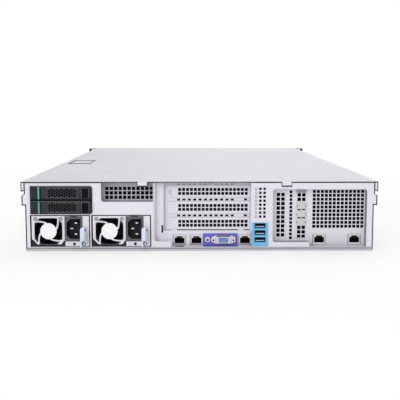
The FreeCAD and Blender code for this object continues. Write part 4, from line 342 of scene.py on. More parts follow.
def paint(node, base, *rules):
    """A CAD node's materials. A rule is (material, test): test gets a face's centre in mm and its normal.

    Where several rules fit a face, the last one holds."""
    mesh = NODES[node].data
    mesh.materials.clear()
    for material in (base,) + tuple(rule[0] for rule in rules):
        mesh.materials.append(material)
    for face in mesh.polygons:
        centre = face.center / MM
        fitting = [i for i, (material, test) in enumerate(rules, 1) if test(centre, face.normal)]
        face.material_index = max(fitting, default=0)


# Numbers in the names of nodes that come in sets
PAIR = (1, 2)                   # power supplies, rear carriers
SYSTEM_FANS = range(1, 5)
FRONT_CARRIERS = range(1, 13)

# Places that several pieces share
PAN_LOW, PAN_HIGH = mm_box("chassis_pan")
REAR, FRONT = PAN_LOW.y, PAN_HIGH.y
LID = PAN_HIGH.z
PANEL_LOW = mm_box("left_rear_panel")[0]
PORT_LEFT = mm_box("port_plate")[0].x
PORT_Y = mm_box("video_plate")[1].y
SLOT_COVERS = clusters("slot_covers")
SLOTS_LOW, SLOTS_HIGH = mm_box("slot_covers")
LEFT_BRACKET, RIGHT_BRACKET, *PLUGS = clusters("card_brackets")
JACKS = clusters("network_jacks")
LEFT_POST, SHELL, INSERT, RIGHT_POST = clusters("video_socket")
SOCKETS = clusters("usb_sockets")[:3]
HOOK_SLOT = (-48.2, -47.0), (21.8, 31.0)       # x and z of the slot at the left of the port plate
FOOT_SLOT = (-30.95, -20.45), (3.5, 4.7)       # x and z of the slot under the first jack
PORT_SLOTS = HOOK_SLOT, FOOT_SLOT


def rear_edge(p, n):
    return looks_rear(n) and p.y < REAR + 0.2


def cover_tab(p, n):
    """Rear faces of the two tabs that the cover hangs over the rear panels."""
    return looks_rear(n) and p.y < REAR - 0.2


# Case and cover
# Case: inside faces painted dark grey as shade, rear edges of the walls painted as near black shadow
# outlines, those along the lip in the lip's grey.
paint("chassis_pan", PALE,
      (INSIDE_SHADE, lambda p, n: n.x * p.x < -0.5 * abs(p.x) or (looks_up(n) and p.z < SHEET + NEAR)),
      (SHADOW_OUTLINE, rear_edge),
      (LIP_AND_SHADE, lambda p, n: rear_edge(p, n) and p.z < PANEL_LOW.z))
# Cover: underside painted dark grey as shade, its rear edge as a near black shadow line, the sides of its
# tabs as dark shade outlines.
paint("top_cover", COVER,
      (INSIDE_SHADE, lambda p, n: looks_down(n) and p.z > LID - NEAR),
      (SHADOW_OUTLINE, lambda p, n: rear_edge(p, n) and p.y > REAR - 0.2),
      (DARK_SHADE, lambda p, n: p.y < REAR - 0.05 and abs(n.x) + abs(n.z) > FLAT and p.z < LID + 0.9),
      (PALE, cover_tab))
# Lever: side faces painted as dark shade outlines.
paint("cover_lever", COVER, (DARK_SHADE, lambda p, n: abs(n.z) < 0.5))
# Ears: rear faces painted as dark shade.
for side in ("left", "right"):
    paint(side + "_ear", PALE, (DARK_SHADE, lambda p, n: looks_rear(n)))
paint("power_button", WHITE)

# Rear panels: painted shade on the walls of the bay openings, grey painted shade on the sills of the vent and
# of the port recess
low, high = mm_box("vent_grille")
vent_corner = low.x + 10.0
sill_top = low.z + 10.0
paint("left_rear_panel", PALE,
      (DARK_SHADE, shaded_hole_wall((PANEL_LOW.x + 6.0, REAR, PANEL_LOW.z + NEAR),
                        (PORT_LEFT - 2.6, REAR + SHEET, LID - 2.0))),
      (LIP_AND_SHADE, lambda p, n: p.x > vent_corner and n.z > ROUNDED and p.z < sill_top),
      (LIP_AND_SHADE, lambda p, n: p.x > PORT_LEFT - 5.0 and n.x > ROUNDED and p.z < sill_top))
# Vent grille: sheet darkened as painted shade, near black painted shade in its holes.
paint("vent_grille", VENT_SHADE,
      (HOLE_SHADE, shaded_hole_wall((low.x + 2.0, high.y - SHEET, low.z + 2.0), (high.x - 2.0, high.y, high.z - 0.5))))
low, high = mm_box("usb_plate")
# Near black painted shade in the holes of the right panel's grille.
paint("right_rear_panel", PALE,
      (HOLE_SHADE, shaded_hole_wall((low.x + 0.5, REAR, high.z + 1.4), (high.x - 0.5, REAR + SHEET, LID - 3.0))))
# Port plate: grey painted shade on the wall at its left, black painted shade in its two slots.
paint("port_plate", PALE,
      (LIP_AND_SHADE, lambda p, n: p.x < PORT_LEFT + SHEET + NEAR and n.x > FLAT),
      (BLACK_SHADE, any_of(inside((xs[0], PORT_Y, zs[0]), (xs[1], PORT_Y + SHEET, zs[1]), -NEAR)
                      for xs, zs in PORT_SLOTS)))

# Card slots, network plate and card brackets
low, high = mm_box("riser_cage")
STRIP_SLOTS = shaded_hole_wall((low.x, low.y, low.z + 1.6), (high.x - 1.6, SLOTS_HIGH.y + SHEET, high.z + NEAR))
# Near black painted shade in the riser cage's strip slots.
paint("riser_cage", PALE, (HOLE_SHADE, STRIP_SLOTS))
# Near black painted shade in the covers' holes, grey painted shade on their bottom faces.
paint("slot_covers", PALE,
      (HOLE_SHADE, shaded_hole_wall(SLOTS_LOW + Vector((1, 0, 1)), SLOTS_HIGH - Vector((1, 0, 1)))),
      (LIP_AND_SHADE, lambda p, n: looks_down(n) and any(abs(p.z - cover[0].z) < NEAR for cover in SLOT_COVERS)))
low, high = mm_box("network_plate")
# Network plate: grey painted shade on its recess's right wall and sill, near black painted shade in its
# holes.
paint("network_plate", PALE,
      (GREY_SHADE, lambda p, n: n.x < -ROUNDED and p.x > high.x - 6.0),
      (GREY_SHADE, lambda p, n: n.z > ROUNDED and p.y < high.y - SHEET - 0.05),
      (HOLE_SHADE, shaded_hole_wall((low.x + 3.0, high.y - SHEET, low.z + 3.0), (high.x - 3.0, high.y, high.z - 3.0))))
# Near black painted shade in the brackets' holes; the port plugs in their own cream.
paint("card_brackets", PALE,
      (HOLE_SHADE, any_of(shaded_hole_wall(low + Vector((0.5, 0, 0.5)), high - Vector((0.5, 0, 0.5)))
                    for low, high in (LEFT_BRACKET, RIGHT_BRACKET))),
      (CREAM, lambda p, n: p.y < LEFT_BRACKET[0].y - 0.01))

# Jacks, video socket and data sockets
JACK_WALL = 0.8
# Black painted shade in the jack mouths.
paint("network_jacks", SHIELD,
      (BLACK_SHADE, any_of(inside(low + Vector((JACK_WALL, NEAR, JACK_WALL)),
                             high + Vector((-JACK_WALL, NEAR, -JACK_WALL))) for low, high in JACKS)))

SHELL_WALL = 0.6
BORE = 1.35         # half width of a square round a jack post's bore


def in_bore(p, n):
    """Walls and end of the bores in the jack posts, in front of the flange, where black shade is painted."""
    off = [p - middle(post) for post in (LEFT_POST, RIGHT_POST)]
    near = any(abs(d.x) < BORE and abs(d.z) < BORE for d in off)
    return near and p.y > SHELL[0].y + NEAR and (abs(n.y) < 0.5 or p.y < SHELL[0].y + 4.1)


# Top face of the socket's shell, painted as a dark shade line.
def shell_top(p, n):
    return looks_up(n) and abs(p.z - INSERT[1].z - SHELL_WALL) < NEAR and p.y < LEFT_POST[1].y - 0.2


paint("video_plate", VIOLET)
paint("video_socket", D_SHELL,
      (D_CORE, lambda p, n: looks_rear(n) and abs(p.y - INSERT[0].y) < NEAR),
      (DARK_SHADE, shell_top),
      (BLACK_SHADE, in_bore))
paint("locator_button", WHITE)

SOCKET_WALL = 0.35


def over_tongue(p, n):
    """Upper half of a data socket's mouth, over its tongue, where black shade is painted."""
    return p.y > REAR - 0.2 and any(
        low.x + SOCKET_WALL < p.x < high.x - SOCKET_WALL and (low.z + high.z) / 2 < p.z < high.z - SOCKET_WALL
        for low, high in SOCKETS)


paint("usb_plate", SKY)
paint("usb_sockets", NAVY, (BLACK_SHADE, over_tongue))

# Bays and what is inside the case
low, high = mm_box("rear_carrier_2")
# Black painted shade in the rear crate behind the carriers and on its rear faces.
paint("rear_bays", ZINC,
      (BLACK_SHADE, lambda p, n: p.y < REAR + 60.0 and p.z > low.z - 0.3 and p.x < high.x + 3.0),
      (BLACK_SHADE, lambda p, n: p.y < REAR + 10.0 and looks_rear(n)))
paint("front_bays", ZINC, (BLACK, lambda p, n: p.y > FRONT - 10.0))
paint("fan_wall", BLACK)
paint("main_board", BOARD)
# Cooler fins painted dark as shade seen through the holes.
paint("processor_coolers", FIN_SHADE)
paint("memory_modules", MODULE)
for board in ("front_backplane", "rear_backplane", "power_board", "riser_board"):
    paint(board, BOARD)
for i in SYSTEM_FANS:
    paint("fan_rotor_%d" % i, BLACK)

# Power supplies
GUARD_DISC = 10.6       # half width of a square round the disc of the finger guard
for i in PAIR:
    case, fan_frame = clusters("psu_%d_case" % i)
    low, high = case
    fan = middle(fan_frame)
    # Black painted shade in the case's vent holes.
    paint("psu_%d_case" % i, CASE,
          (BRIGHT, rear_edge),
          (BLACK, inside(*fan_frame, -NEAR)),
          (BLACK_SHADE, shaded_hole_wall((low.x + 1.5, REAR, low.z + 1.5), (low.x + 45.0, REAR + SHEET, high.z - 1.5))),
          (GUARD, lambda p, n: p.y < REAR + 0.01 and max(abs(p.x - fan.x), abs(p.z - fan.z)) < GUARD_DISC))
    paint("psu_%d_fan_rotor" % i, BLACK)
    (low, high), *pins = clusters("psu_%d_inlet" % i)
    # Inlet: its well and its pins darkened as painted shade, with painted highlights along the pins' edges.
    paint("psu_%d_inlet" % i, HOUSING,
          (WELL_SHADE, inside((low.x + 1.0, low.y + 0.05, low.z + 1.0), high - Vector((1, 1, 1)))),
          (PIN_SHADE, any_of(inside(pin[0] - Vector((NEAR, NEAR, NEAR)), pin[1] + Vector((NEAR, -NEAR, NEAR)))
                       for pin in pins)))
    paint("psu_%d_latch" % i, LATCH)

# Rear carriers
STRIP_OFF = (4.05, 2.25)        # sides of the teal strip, to the left of the lever
for i in PAIR:
    low, high = mm_box("rear_carrier_%d_lever" % i)
    drive_low, drive_high = clusters("rear_carrier_%d" % i)[1]
    drive_y = drive_low.y - NEAR
    # Bezel: black painted shade in the well behind the lever and on the drive's face seen through it.
    paint("rear_carrier_%d" % i, BEZEL,
          (BLACK_SHADE, lambda p, n: low.x + 1.5 < p.x < high.x - 1.0 and REAR - 0.5 < p.y < drive_y),
          (DRIVE, lambda p, n: p.y > drive_y and drive_low.x - NEAR < p.x < drive_high.x + NEAR),
          (BLACK_SHADE, lambda p, n: drive_y < p.y < drive_y + 1.9 and looks_rear(n)),
          (TEAL, lambda p, n: low.x - STRIP_OFF[0] < p.x < low.x - STRIP_OFF[1] and p.y < REAR - 0.9))
    # Black painted shade on the walls of the lever's holes.
    paint("rear_carrier_%d_lever" % i, LEVER,
          (BLACK_SHADE, lambda p, n: abs(n.y) < 0.5 and p.y > low.y + NEAR
           and low.x + 4.0 < p.x < high.x - 2.0 and low.z + 1.0 < p.z < high.z - 1.0))
    paint("rear_carrier_%d_button" % i, BUTTON)

# Front carriers
for i in FRONT_CARRIERS:
    (low, high), drive = clusters("front_carrier_%d" % i)
    # Black painted shade in the bezel's well behind the lever.
    paint("front_carrier_%d" % i, BEZEL,
          (DRIVE, inside(*drive, -NEAR)),
          (BLACK_SHADE, lambda p, n: FRONT - 1.0 < p.y < high.y - 3.5))


# Added pieces

SHARP = math.radians(38)        # faces that meet at more than this have a hard edge between them
FILM = 0.12                     # how far a thin pad, line or rim stands out of its face


class Shape:
    """Small rounded blocks and turned forms gathered into one mesh. All sizes are in millimetres."""

    def __init__(self):
        self.bm = bmesh.new()
        self.coloured = self.bm.faces.layers.int.new("coloured")
        self.materials = []

    def colour(self, material):
        """Give the faces made since the last call their material."""
        if material not in self.materials:
            self.materials.append(material)
        for face in self.bm.faces:
            if not face[self.coloured]:
                face.material_index = self.materials.index(material)
                face[self.coloured] = 1

    def close(self, verts, material, bevel, rims=False):
        """Round the edges of a new form and colour it; rims keeps to the edges of its end caps."""
        edges = list(dict.fromkeys(edge for vert in verts for edge in vert.link_edges))
        if rims:
            edges = [edge for edge in edges if max(len(face.verts) for face in edge.link_faces) > 4]
        if bevel:
            bmesh.ops.bevel(self.bm, geom=edges, offset=bevel, segments=2, profile=0.5,
                            affect="EDGES", clamp_overlap=True)
        self.colour(material)

    def block(self, low, high, material, bevel=0.2):
        low, high = Vector(low), Vector(high)
        size = Matrix.Diagonal((high - low).to_4d())
        size[3][3] = 1.0
        made = bmesh.ops.create_cube(self.bm, size=1.0, matrix=Matrix.Translation((low + high) / 2) @ size)
        self.close(made["verts"], material, bevel)

    def strip(self, xs, zs, y, material, proud=FILM):
        """A thin flat bar on a face that looks to the rear at y."""
        self.block((xs[0], y - proud, zs[0]), (xs[1], y + proud, zs[1]), material, proud / 3)

    def turned(self, centre, axis, material, radius, length, sides=24, top=None, bevel=0.15):
        """A disc or cone that starts at centre and runs along axis."""
        axis = Vector(axis).normalized()
        turn = Vector((0, 0, 1)).rotation_difference(axis).to_matrix().to_4x4()
        place = Matrix.Translation(Vector(centre) + axis * (length / 2)) @ turn
        made = bmesh.ops.create_cone(self.bm, cap_ends=True, segments=sides, radius1=radius,
                                     radius2=radius if top is None else top, depth=length, matrix=place)
        self.close(made["verts"], material, bevel, rims=True)

    def ring(self, centre, axis, material, inner, outer, length, sides=28):
        """A washer that starts at centre and runs along axis."""
        turn = Vector((0, 0, 1)).rotation_difference(Vector(axis).normalized())
        shoulder, chamfer = length * 0.7, length * 0.3
        section = ((inner, 0.0), (outer, 0.0), (outer, shoulder), (outer - chamfer, length),
                   (inner + chamfer, length), (inner, shoulder))
        angles = [2 * math.pi * k / sides for k in range(sides)]
        loops = []
        for radius, rise in section:
            points = [Vector((math.cos(a) * radius, math.sin(a) * radius, rise)) for a in angles]
            loops.append([self.bm.verts.new(Vector(centre) + turn @ point) for point in points])
        self.skin(loops, material, True)

    def plate(self, points, front, depth, material):
        """A flat plate with corners (x, z), its front at y = front and its back depth further on."""
        loops = [[self.bm.verts.new((x, y, z)) for x, z in points] for y in (front, front + depth)]
        self.skin(loops, material, False)
        for loop in loops:
            self.bm.faces.new(loop)
        self.colour(material)

    def skin(self, loops, material, closed):
        """Quads between loops of equal length; closed joins the last loop to the first."""
        pairs = list(zip(loops, loops[1:])) + ([(loops[-1], loops[0])] if closed else [])
        for one, two in pairs:
            for k in range(len(one)):
                n = (k + 1) % len(one)
                self.bm.faces.new((one[k], one[n], two[n], two[k]))
        self.colour(material)

    def honeycomb(self, xs, zs, y, depth, pitch, radius, material):
        """Perforated web of six-sided cells between the limits, facing +Y."""
        reach = pitch / math.sqrt(3.0)
        rise = pitch * math.sqrt(3.0) / 2
        width, height = xs[1] - xs[0], zs[1] - zs[0]
        rows, columns = int(height / rise), int(width / pitch)
        start = Vector((sum(xs) / 2 - pitch * (columns - 1) / 2, y, sum(zs) / 2 - rise * (rows - 1) / 2))
        spokes = [Vector((math.sin(math.pi / 3 * k), 0, math.cos(math.pi / 3 * k))) for k in range(6)]
        shared = {}

        def corner(point):
            """Neighbouring cells use the same outer corner."""
            key = tuple(round(value, 2) for value in point)
            if key not in shared:
                shared[key] = self.bm.verts.new(point)
            return shared[key]

        cells = []
        for j in range(rows):
            shift = pitch / 2 * (j % 2)
            for i in range(int((width - shift) / pitch)):
                back = start + Vector((shift + i * pitch, 0, j * rise))
                front = back + Vector((0, depth, 0))
                outer = [[corner(centre + spoke * reach) for spoke in spokes] for centre in (back, front)]
                inner = [[self.bm.verts.new(centre + spoke * radius) for spoke in spokes]
                         for centre in (back, front)]
                self.skin([outer[0], inner[0], inner[1], outer[1]], material, False)
                cells.append(outer)
        for back, front in cells:
            for k in range(6):
                n = (k + 1) % 6
                if len(self.bm.edges.get((front[k], front[n])).link_faces) == 1:
                    self.bm.faces.new((front[k], front[n], back[n], back[k]))
        self.colour(material)

    def mesh(self, name):
        mesh = bpy.data.meshes.new(name)
        bmesh.ops.scale(self.bm, vec=(MM, MM, MM), verts=self.bm.verts)
        bmesh.ops.recalc_face_normals(self.bm, faces=self.bm.faces)
        self.bm.to_mesh(mesh)
        self.bm.free()
        for material in self.materials:
            mesh.materials.append(material)
        for face in mesh.polygons:
            face.use_smooth = True
        mesh.set_sharp_from_angle(angle=SHARP)
        return mesh

    def piece(self, name, body, slot):
        return put(self.mesh(name), name, body)


def put(mesh, name, body, at=(0, 0, 0)):
    """A mesh as a piece that rides on a body, moved by at in millimetres."""
    obj = bpy.data.objects.new(name, mesh)
    obj.location = Vector(at) * MM
    bpy.context.scene.collection.objects.link(obj)
    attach(obj, body)
    return obj


# Network jacks: contact wires deep in each mouth, two lamp windows over it, painted shade at its sides and
# foot
WIRES = 8
WIRE_PITCH = 1.02
WIRE_SIZE = Vector((0.45, 4.9, 0.5))
FIRST_WIRE = Vector((-3.9, 9.0, 7.4))       # from the middle of the jack's lower front edge
LAMP_OFF = 6.0                              # lamp windows either side of the middle
LAMP_HALF = 1.2
wires, lamps = Shape(), Shape()
for low, high in JACKS:
    x, y = (low.x + high.x) / 2, low.y
    for k in range(WIRES):
        start = Vector((x + k * WIRE_PITCH, y, low.z)) + FIRST_WIRE
        wires.block(start, start + WIRE_SIZE, GOLD, bevel=0.1)
    for side in (-1, 1):
        lamp_x = x + side * LAMP_OFF
        lamps.block((lamp_x - LAMP_HALF, y - 0.2, high.z - 2.9), (lamp_x + LAMP_HALF, y + 0.4, high.z - 1.1),
                    CREAM, bevel=0.15)
        # Grey strips of painted shade at the mouth's sides.
        edge_x = x + side * ((high.x - low.x) / 2 - 0.4)
        lamps.strip((edge_x - 0.3, edge_x + 0.3), (low.z + 0.3, high.z - 0.5), y, GREY_SHADE)
    # The foot strip is grey painted shade left of the data plate; further right it is painted white as light.
    foot = GREY_SHADE if x < mm_box("usb_plate")[0].x else WHITE
    lamps.strip((low.x + 0.9, high.x - 0.9), (low.z + 0.3, low.z + 2.0), y, foot)
wires.piece("jack_wires", "chassis", "bright_steel")
lamps.piece("jack_lamps", "chassis", "white_plastic")

# Video socket: fifteen contacts in three rows, bright lip in the shell, painted shadow lines over and under
# the shell
CONTACTS_IN_ROW = 5
CONTACT_PITCH = 2.3
CONTACT_RADIUS = 0.8
FIRST_CONTACT = -5.0        # from the insert's middle
ROW_RISE = 2.2
low, high = INSERT
at = middle(INSERT)
half = high.x - at.x
contacts = Shape()
for row, shift in ((1, 0.0), (0, CONTACT_PITCH / 2), (-1, 0.0)):
    for k in range(CONTACTS_IN_ROW):
        place = (at.x + FIRST_CONTACT + shift + k * CONTACT_PITCH, low.y, at.z + row * ROW_RISE)
        contacts.ring(place, TO_REAR, TONGUE, inner=CONTACT_RADIUS, outer=CONTACT_RADIUS + 0.15, length=0.2,
                      sides=14)
        contacts.turned(place, TO_REAR, NAVY, radius=CONTACT_RADIUS, length=0.1, sides=14, bevel=0.02)
for side in (-1, 1):
    corners = ((half + 0.1, high.z + 0.1), (half - 1.3, high.z + 0.1), (half - 2.6, low.z - 0.1),
               (half - 1.5, low.z - 0.1))
    contacts.plate([(at.x + side * x, z) for x, z in corners], front=low.y - 0.6, depth=0.7, material=D_SHELL)
    z = at.z + side * 3.5
    reach = half - 1.7 + side * 0.7
    contacts.strip((at.x - reach, at.x + reach), (z - 0.3, z + 0.3), low.y - 0.25, D_SHELL, proud=0.35)
# Dark painted shadow lines under and over the shell.
contacts.strip((at.x - 7.2, at.x + 7.2), (low.z - 0.65, low.z - 0.1), SHELL[0].y, DARK_SHADE)
over = half + SHELL_WALL
contacts.strip((at.x - over, at.x + over), (high.z + SHELL_WALL, high.z + 1.4), LEFT_POST[1].y - 0.8, DARK_SHADE)
contacts.piece("video_contacts", "chassis", "black_plastic")

# Data sockets: on each tongue a pale blue edge, painted lighter than the tongue as a highlight, and four
# contacts over it, darkened as painted shade
STRIPS = 4
STRIP_PITCH, STRIP_WIDTH = 2.1, 1.1
FIRST_STRIP = -3.6          # from the socket's middle
strips = Shape()
for low, high in SOCKETS:
    x, y, z = (low.x + high.x) / 2, low.y, (low.z + high.z) / 2
    # Pale blue tongue edge: partly painted highlight.
    strips.block((x - 5.4, y + 0.2, z - 1.5), (x + 5.4, y + 2.1, z - 0.7), TONGUE, bevel=0.1)
    for k in range(STRIPS):
        left = x + FIRST_STRIP + k * STRIP_PITCH
        # Contacts darkened as painted shade.
        strips.block((left, y + 4.3, z - 0.35), (left + STRIP_WIDTH, y + 10.8, z - 0.15), PIN_SHADE, bevel=0.05)
strips.piece("socket_contacts", "chassis", "bright_steel")

# Locator button: white ring on the plate, dark blue cap with a small white dot painted on it as a highlight
at = middle(mm_box("locator_button"))
plate_y = mm_box("video_plate")[0].y
cap_y = mm_box("locator_button")[0].y
collar, cap = Shape(), Shape()
collar.ring((at.x, plate_y, at.z), TO_REAR, WHITE, inner=2.75, outer=3.3, length=0.9)
collar.piece("locator_ring", "chassis", "white_plastic")
cap.turned((at.x, cap_y, at.z), TO_REAR, NAVY, radius=1.75, length=0.3, sides=24, top=1.65, bevel=0.05)
# White dot near the top of the cap: a painted highlight.
cap.turned((at.x - 0.5, cap_y - 0.3, at.z + 0.6), TO_REAR, WHITE, radius=0.35, length=0.15, sides=16,
           top=0.25, bevel=0.03)
cap.piece("locator_cap", "locator_button", "violet_plastic")

# Power supplies: fan screws at the guard's upper corners with painted shade round them, painted shade at the
# guard's foot, painted shadow lines round the rear face, painted glints on the ends of the inlet's pins, a
# painted shade ring round the latch pivot and the spring clip over the inlet
SCREW_OFF = Vector((15.8, 0, 15.4))     # fan screws from the fan's axis
GUARD_WIDTH = 43.0                      # part of the rear face with the finger guard
PIVOT = (67.0, 4.4)                     # latch pivot from the lower left corner
for i in PAIR:
    low, high = mm_box("psu_%d_case" % i)
    fan = middle(mm_box("psu_%d_fan_rotor" % i))
    inlet, *pins = clusters("psu_%d_inlet" % i)
    trim = Shape()
    for side in (-1, 1):
        x, z = fan.x + side * SCREW_OFF.x, fan.z + SCREW_OFF.z
        # Grey painted shade ring round each screw head and dark painted shade in its socket.
        trim.ring((x, REAR, z), TO_REAR, GREY_SHADE, inner=1.5, outer=2.7, length=0.45, sides=20)
        trim.turned((x, REAR, z), TO_REAR, ZINC, radius=1.4, length=0.6, sides=20, top=1.2, bevel=0.1)
        trim.turned((x, REAR - 0.5, z), TO_REAR, DARK_SHADE, radius=0.6, length=0.2, sides=6, bevel=0.04)
    guard_right = low.x + GUARD_WIDTH
    foot = low.z + 3.1
    # Near black painted shade along the guard's foot and in its lower corners.
    trim.strip((low.x + 0.9, guard_right), (low.z + 0.3, foot), REAR, NEAR_BLACK_SHADE)
    left_foot_shade = ((low.x + 1.0, foot), (low.x + 8.0, foot), (low.x + 3.4, low.z + 8.0),
                (low.x + 1.0, low.z + 10.0))
    right_foot_shade = ((guard_right - 5.0, foot), (guard_right, foot), (guard_right, low.z + 9.0),
                 (guard_right - 2.6, low.z + 6.6))
    for corners in (left_foot_shade, right_foot_shade):
        trim.plate(corners, front=REAR - FILM, depth=2 * FILM, material=NEAR_BLACK_SHADE)
    # Painted shadow lines along the left, right and top edges of the rear face and along its foot right of
    # the guard.
    for xs, zs in (((low.x, low.x + 1.2), (low.z, high.z)),
                   ((high.x - 0.7, high.x), (low.z, high.z)),
                   ((low.x + 0.9, high.x - 0.7), (high.z - 0.6, high.z)),
                   ((guard_right, high.x - 0.7), (low.z, low.z + 0.5))):
        trim.strip(xs, zs, REAR, SHADOW_OUTLINE)
    # Painted glints on the ends of the inlet's pins.
    for pin in pins:
        end = middle(pin)
        trim.strip((end.x - 1.2, end.x + 1.2), (end.z - 0.7, end.z + 0.7), pin[0].y, WHITE)
    # Dark painted shade ring round the latch pivot.
    trim.ring((low.x + PIVOT[0], low.y, low.z + PIVOT[1]), TO_REAR, DARK_SHADE, inner=1.3, outer=2.35,
              length=0.25, sides=24)
    clip_x = middle(inlet).x
    trim.block((clip_x - 4.2, inlet[0].y - 0.2, inlet[1].z - 0.4),
               (clip_x + 4.2, REAR + 0.5, inlet[1].z + 1.0), BLACK, bevel=0.2)
    trim.piece("psu_%d_trim" % i, "psu_%d" % i, "bright_steel")

    low, high = mm_box("psu_%d_latch" % i)
    grip = Shape()
    grip.strip((high.x - 3.0, high.x - 0.4), (low.z + 7.2, high.z - 4.2), low.y, SAGE)
    # Dark wedge of painted shade at the latch's upper right.
    shade_wedge = ((3.2, 2.2), (0.7, 2.2), (0.4, 4.0), (1.6, 4.0))
    grip.plate([(high.x - x, high.z - z) for x, z in shade_wedge], front=low.y - FILM, depth=2 * FILM,
               material=SHADOW_OUTLINE)
    grip.piece("psu_%d_latch_side" % i, "psu_%d_latch" % i, "pale_blue_plastic")

# Rear carriers: painted highlights along the lever, the release button and the top of the bezel, and painted
# shade along the bezel's foot and round each lever hole
RIM_WIDTH = 0.5
BUTTON_RIM = 0.6


def lever_holes(low, high):
    """Walls of the six-sided holes of a lever with that box."""
    return lambda p, n: (abs(n.y) < 0.5 and p.y > low.y + 0.4 and low.x + 7.0 < p.x < high.x - 3.0
                         and low.z + 1.8 < p.z < high.z - 1.8)


for i in PAIR:
    lever = "rear_carrier_%d_lever" % i
    low, high = mm_box(lever)
    rims = Shape()
    # Painted highlights along the lever's top and bottom.
    for z in (low.z + 1.2, high.z - 1.7):
        rims.block((low.x + 6.0, low.y - FILM, z), (high.x - 0.6, low.y + 0.2, z + RIM_WIDTH), RIM_HIGHLIGHT,
                   bevel=0.06)
    # Black painted shade round each lever hole.
    for hole in clusters(lever, lever_holes(low, high)):
        at = middle(hole)
        rims.ring((at.x, low.y + 0.05, at.z), TO_REAR, BLACK_SHADE, inner=1.2, outer=1.6, length=0.12, sides=6)
    rims.piece(lever + "_rims", lever, "charcoal")

    button = "rear_carrier_%d_button" % i
    low, high = mm_box(button)
    left, right, top = low.x + BUTTON_RIM, high.x - BUTTON_RIM, high.z - BUTTON_RIM
    rims = Shape()
    # Painted highlight along the button's sides and top.
    for xs, zs in (((low.x, left), (low.z, high.z)),
                   ((right, high.x), (low.z, high.z)),
                   ((left, right), (top, high.z))):
        rims.block((xs[0], low.y - FILM, zs[0]), (xs[1], low.y + 0.2, zs[1]), RIM_HIGHLIGHT, bevel=0.06)
    rims.piece(button + "_rim", button, "charcoal")

    carrier = "rear_carrier_%d" % i
    low, high = mm_box(carrier)
    rims = Shape()
    # Black painted shade along the bezel's foot, painted highlight along its top.
    for z, material in ((low.z + 0.15, BLACK_SHADE), (high.z - 0.65, RIM_HIGHLIGHT)):
        rims.block((low.x + 1.0, low.y - 0.1, z), (high.x - 3.2, low.y + 0.2, z + RIM_WIDTH), material,
                   bevel=0.06)
    rims.piece(carrier + "_rims", carrier, "charcoal")

# Rear panels: painted shadow behind the cover's tabs and a painted shade line along the lip
LIP_LINE_HALF = 216.0
LIP_LINE_ZS = (2.6, 3.3)
marks = Shape()
for tab in clusters("top_cover", cover_tab):
    x = middle(tab).x
    marks.block((x - 6.6, REAR - FILM, LID - 5.6), (x + 6.6, REAR + 0.1, LID - 0.8), DARK_SHADE, bevel=0.05)
marks.block((-LIP_LINE_HALF, REAR - 0.1, LIP_LINE_ZS[0]), (LIP_LINE_HALF, REAR + 0.1, LIP_LINE_ZS[1]), DARK_SHADE,
            bevel=0.05)

# Slot covers: painted shadow lines under the upper two, painted shade round a raised tab on the top one,
# black painted shade under the strip slots
low, high = SLOTS_LOW, SLOTS_HIGH
for cover, material in ((SLOT_COVERS[2], LIP_AND_SHADE), (SLOT_COVERS[1], VENT_SHADE)):
    z = cover[0].z
    marks.strip((low.x + 0.5, high.x - 0.5), (z - 0.75, z - 0.1), high.y, material)
tab_shade_z = SLOT_COVERS[2][0].z
marks.strip((low.x + 3.7, low.x + 4.3), (tab_shade_z - 0.14, tab_shade_z + 10.76), low.y, GREY_SHADE)
marks.strip((low.x + 1.0, low.x + 3.0), (tab_shade_z + 4.46, tab_shade_z + 10.06), low.y, LIP_AND_SHADE)
slot_rows = [(below[1].z + above[0].z) / 2 for below, above in zip(SLOT_COVERS, SLOT_COVERS[1:])]
for slot in clusters("riser_cage", STRIP_SLOTS):
    at = middle(slot)
    if any(abs(at.z - z) < 1.0 for z in slot_rows):
        marks.strip((at.x - 2.0, at.x + 2.0), (at.z - 1.45, at.z - 0.95), high.y, BLACK_SHADE)

# Port plate: black painted shade round its two slots
HOOK_RIM = (-48.5, -46.3), (21.6, 31.2)
FOOT_RIM = (-31.2, -20.1), (3.2, 4.9)
for xs, zs in (HOOK_RIM, FOOT_RIM):
    marks.strip(xs, zs, PORT_Y, BLACK_SHADE)

# Right card bracket: painted shade in the gaps beside the port plugs and between them, and grey painted shade
# on the bracket's top bend
low, high = RIGHT_BRACKET
for k, plug in enumerate(PLUGS):
    z = plug[0].z
    for x in (low.x + 0.9, high.x - 1.6):
        marks.strip((x, x + 0.7), (z + 2.2, z + 5.0), plug[0].y, NEAR_BLACK_SHADE)
    if k:
        for x in (low.x + 3.8, high.x - 3.8):
            marks.strip((x - 2.1, x + 2.1), (z - 1.7, z - 0.1), low.y, BLACK_SHADE)
marks.strip((low.x + 0.3, high.x - 0.3), (high.z - 4.2, high.z - 0.4), low.y, GREY_SHADE)
marks.piece("rear_panel_marks", "chassis", "grey_steel")

# Cover: pale end plates between its rails and the walls
ends = Shape()
edge_x = mm_box("top_cover")[1].x
for side in (-1, 1):
    left, right = sorted((side * (edge_x - 3.6), side * (edge_x - 1.1)))
    ends.block((left, REAR + 0.1, LID - 9.0), (right, REAR + 1.3, LID - 0.3), PALE, bevel=0.15)
ends.piece("cover_end_plates", "cover", "pale_steel")

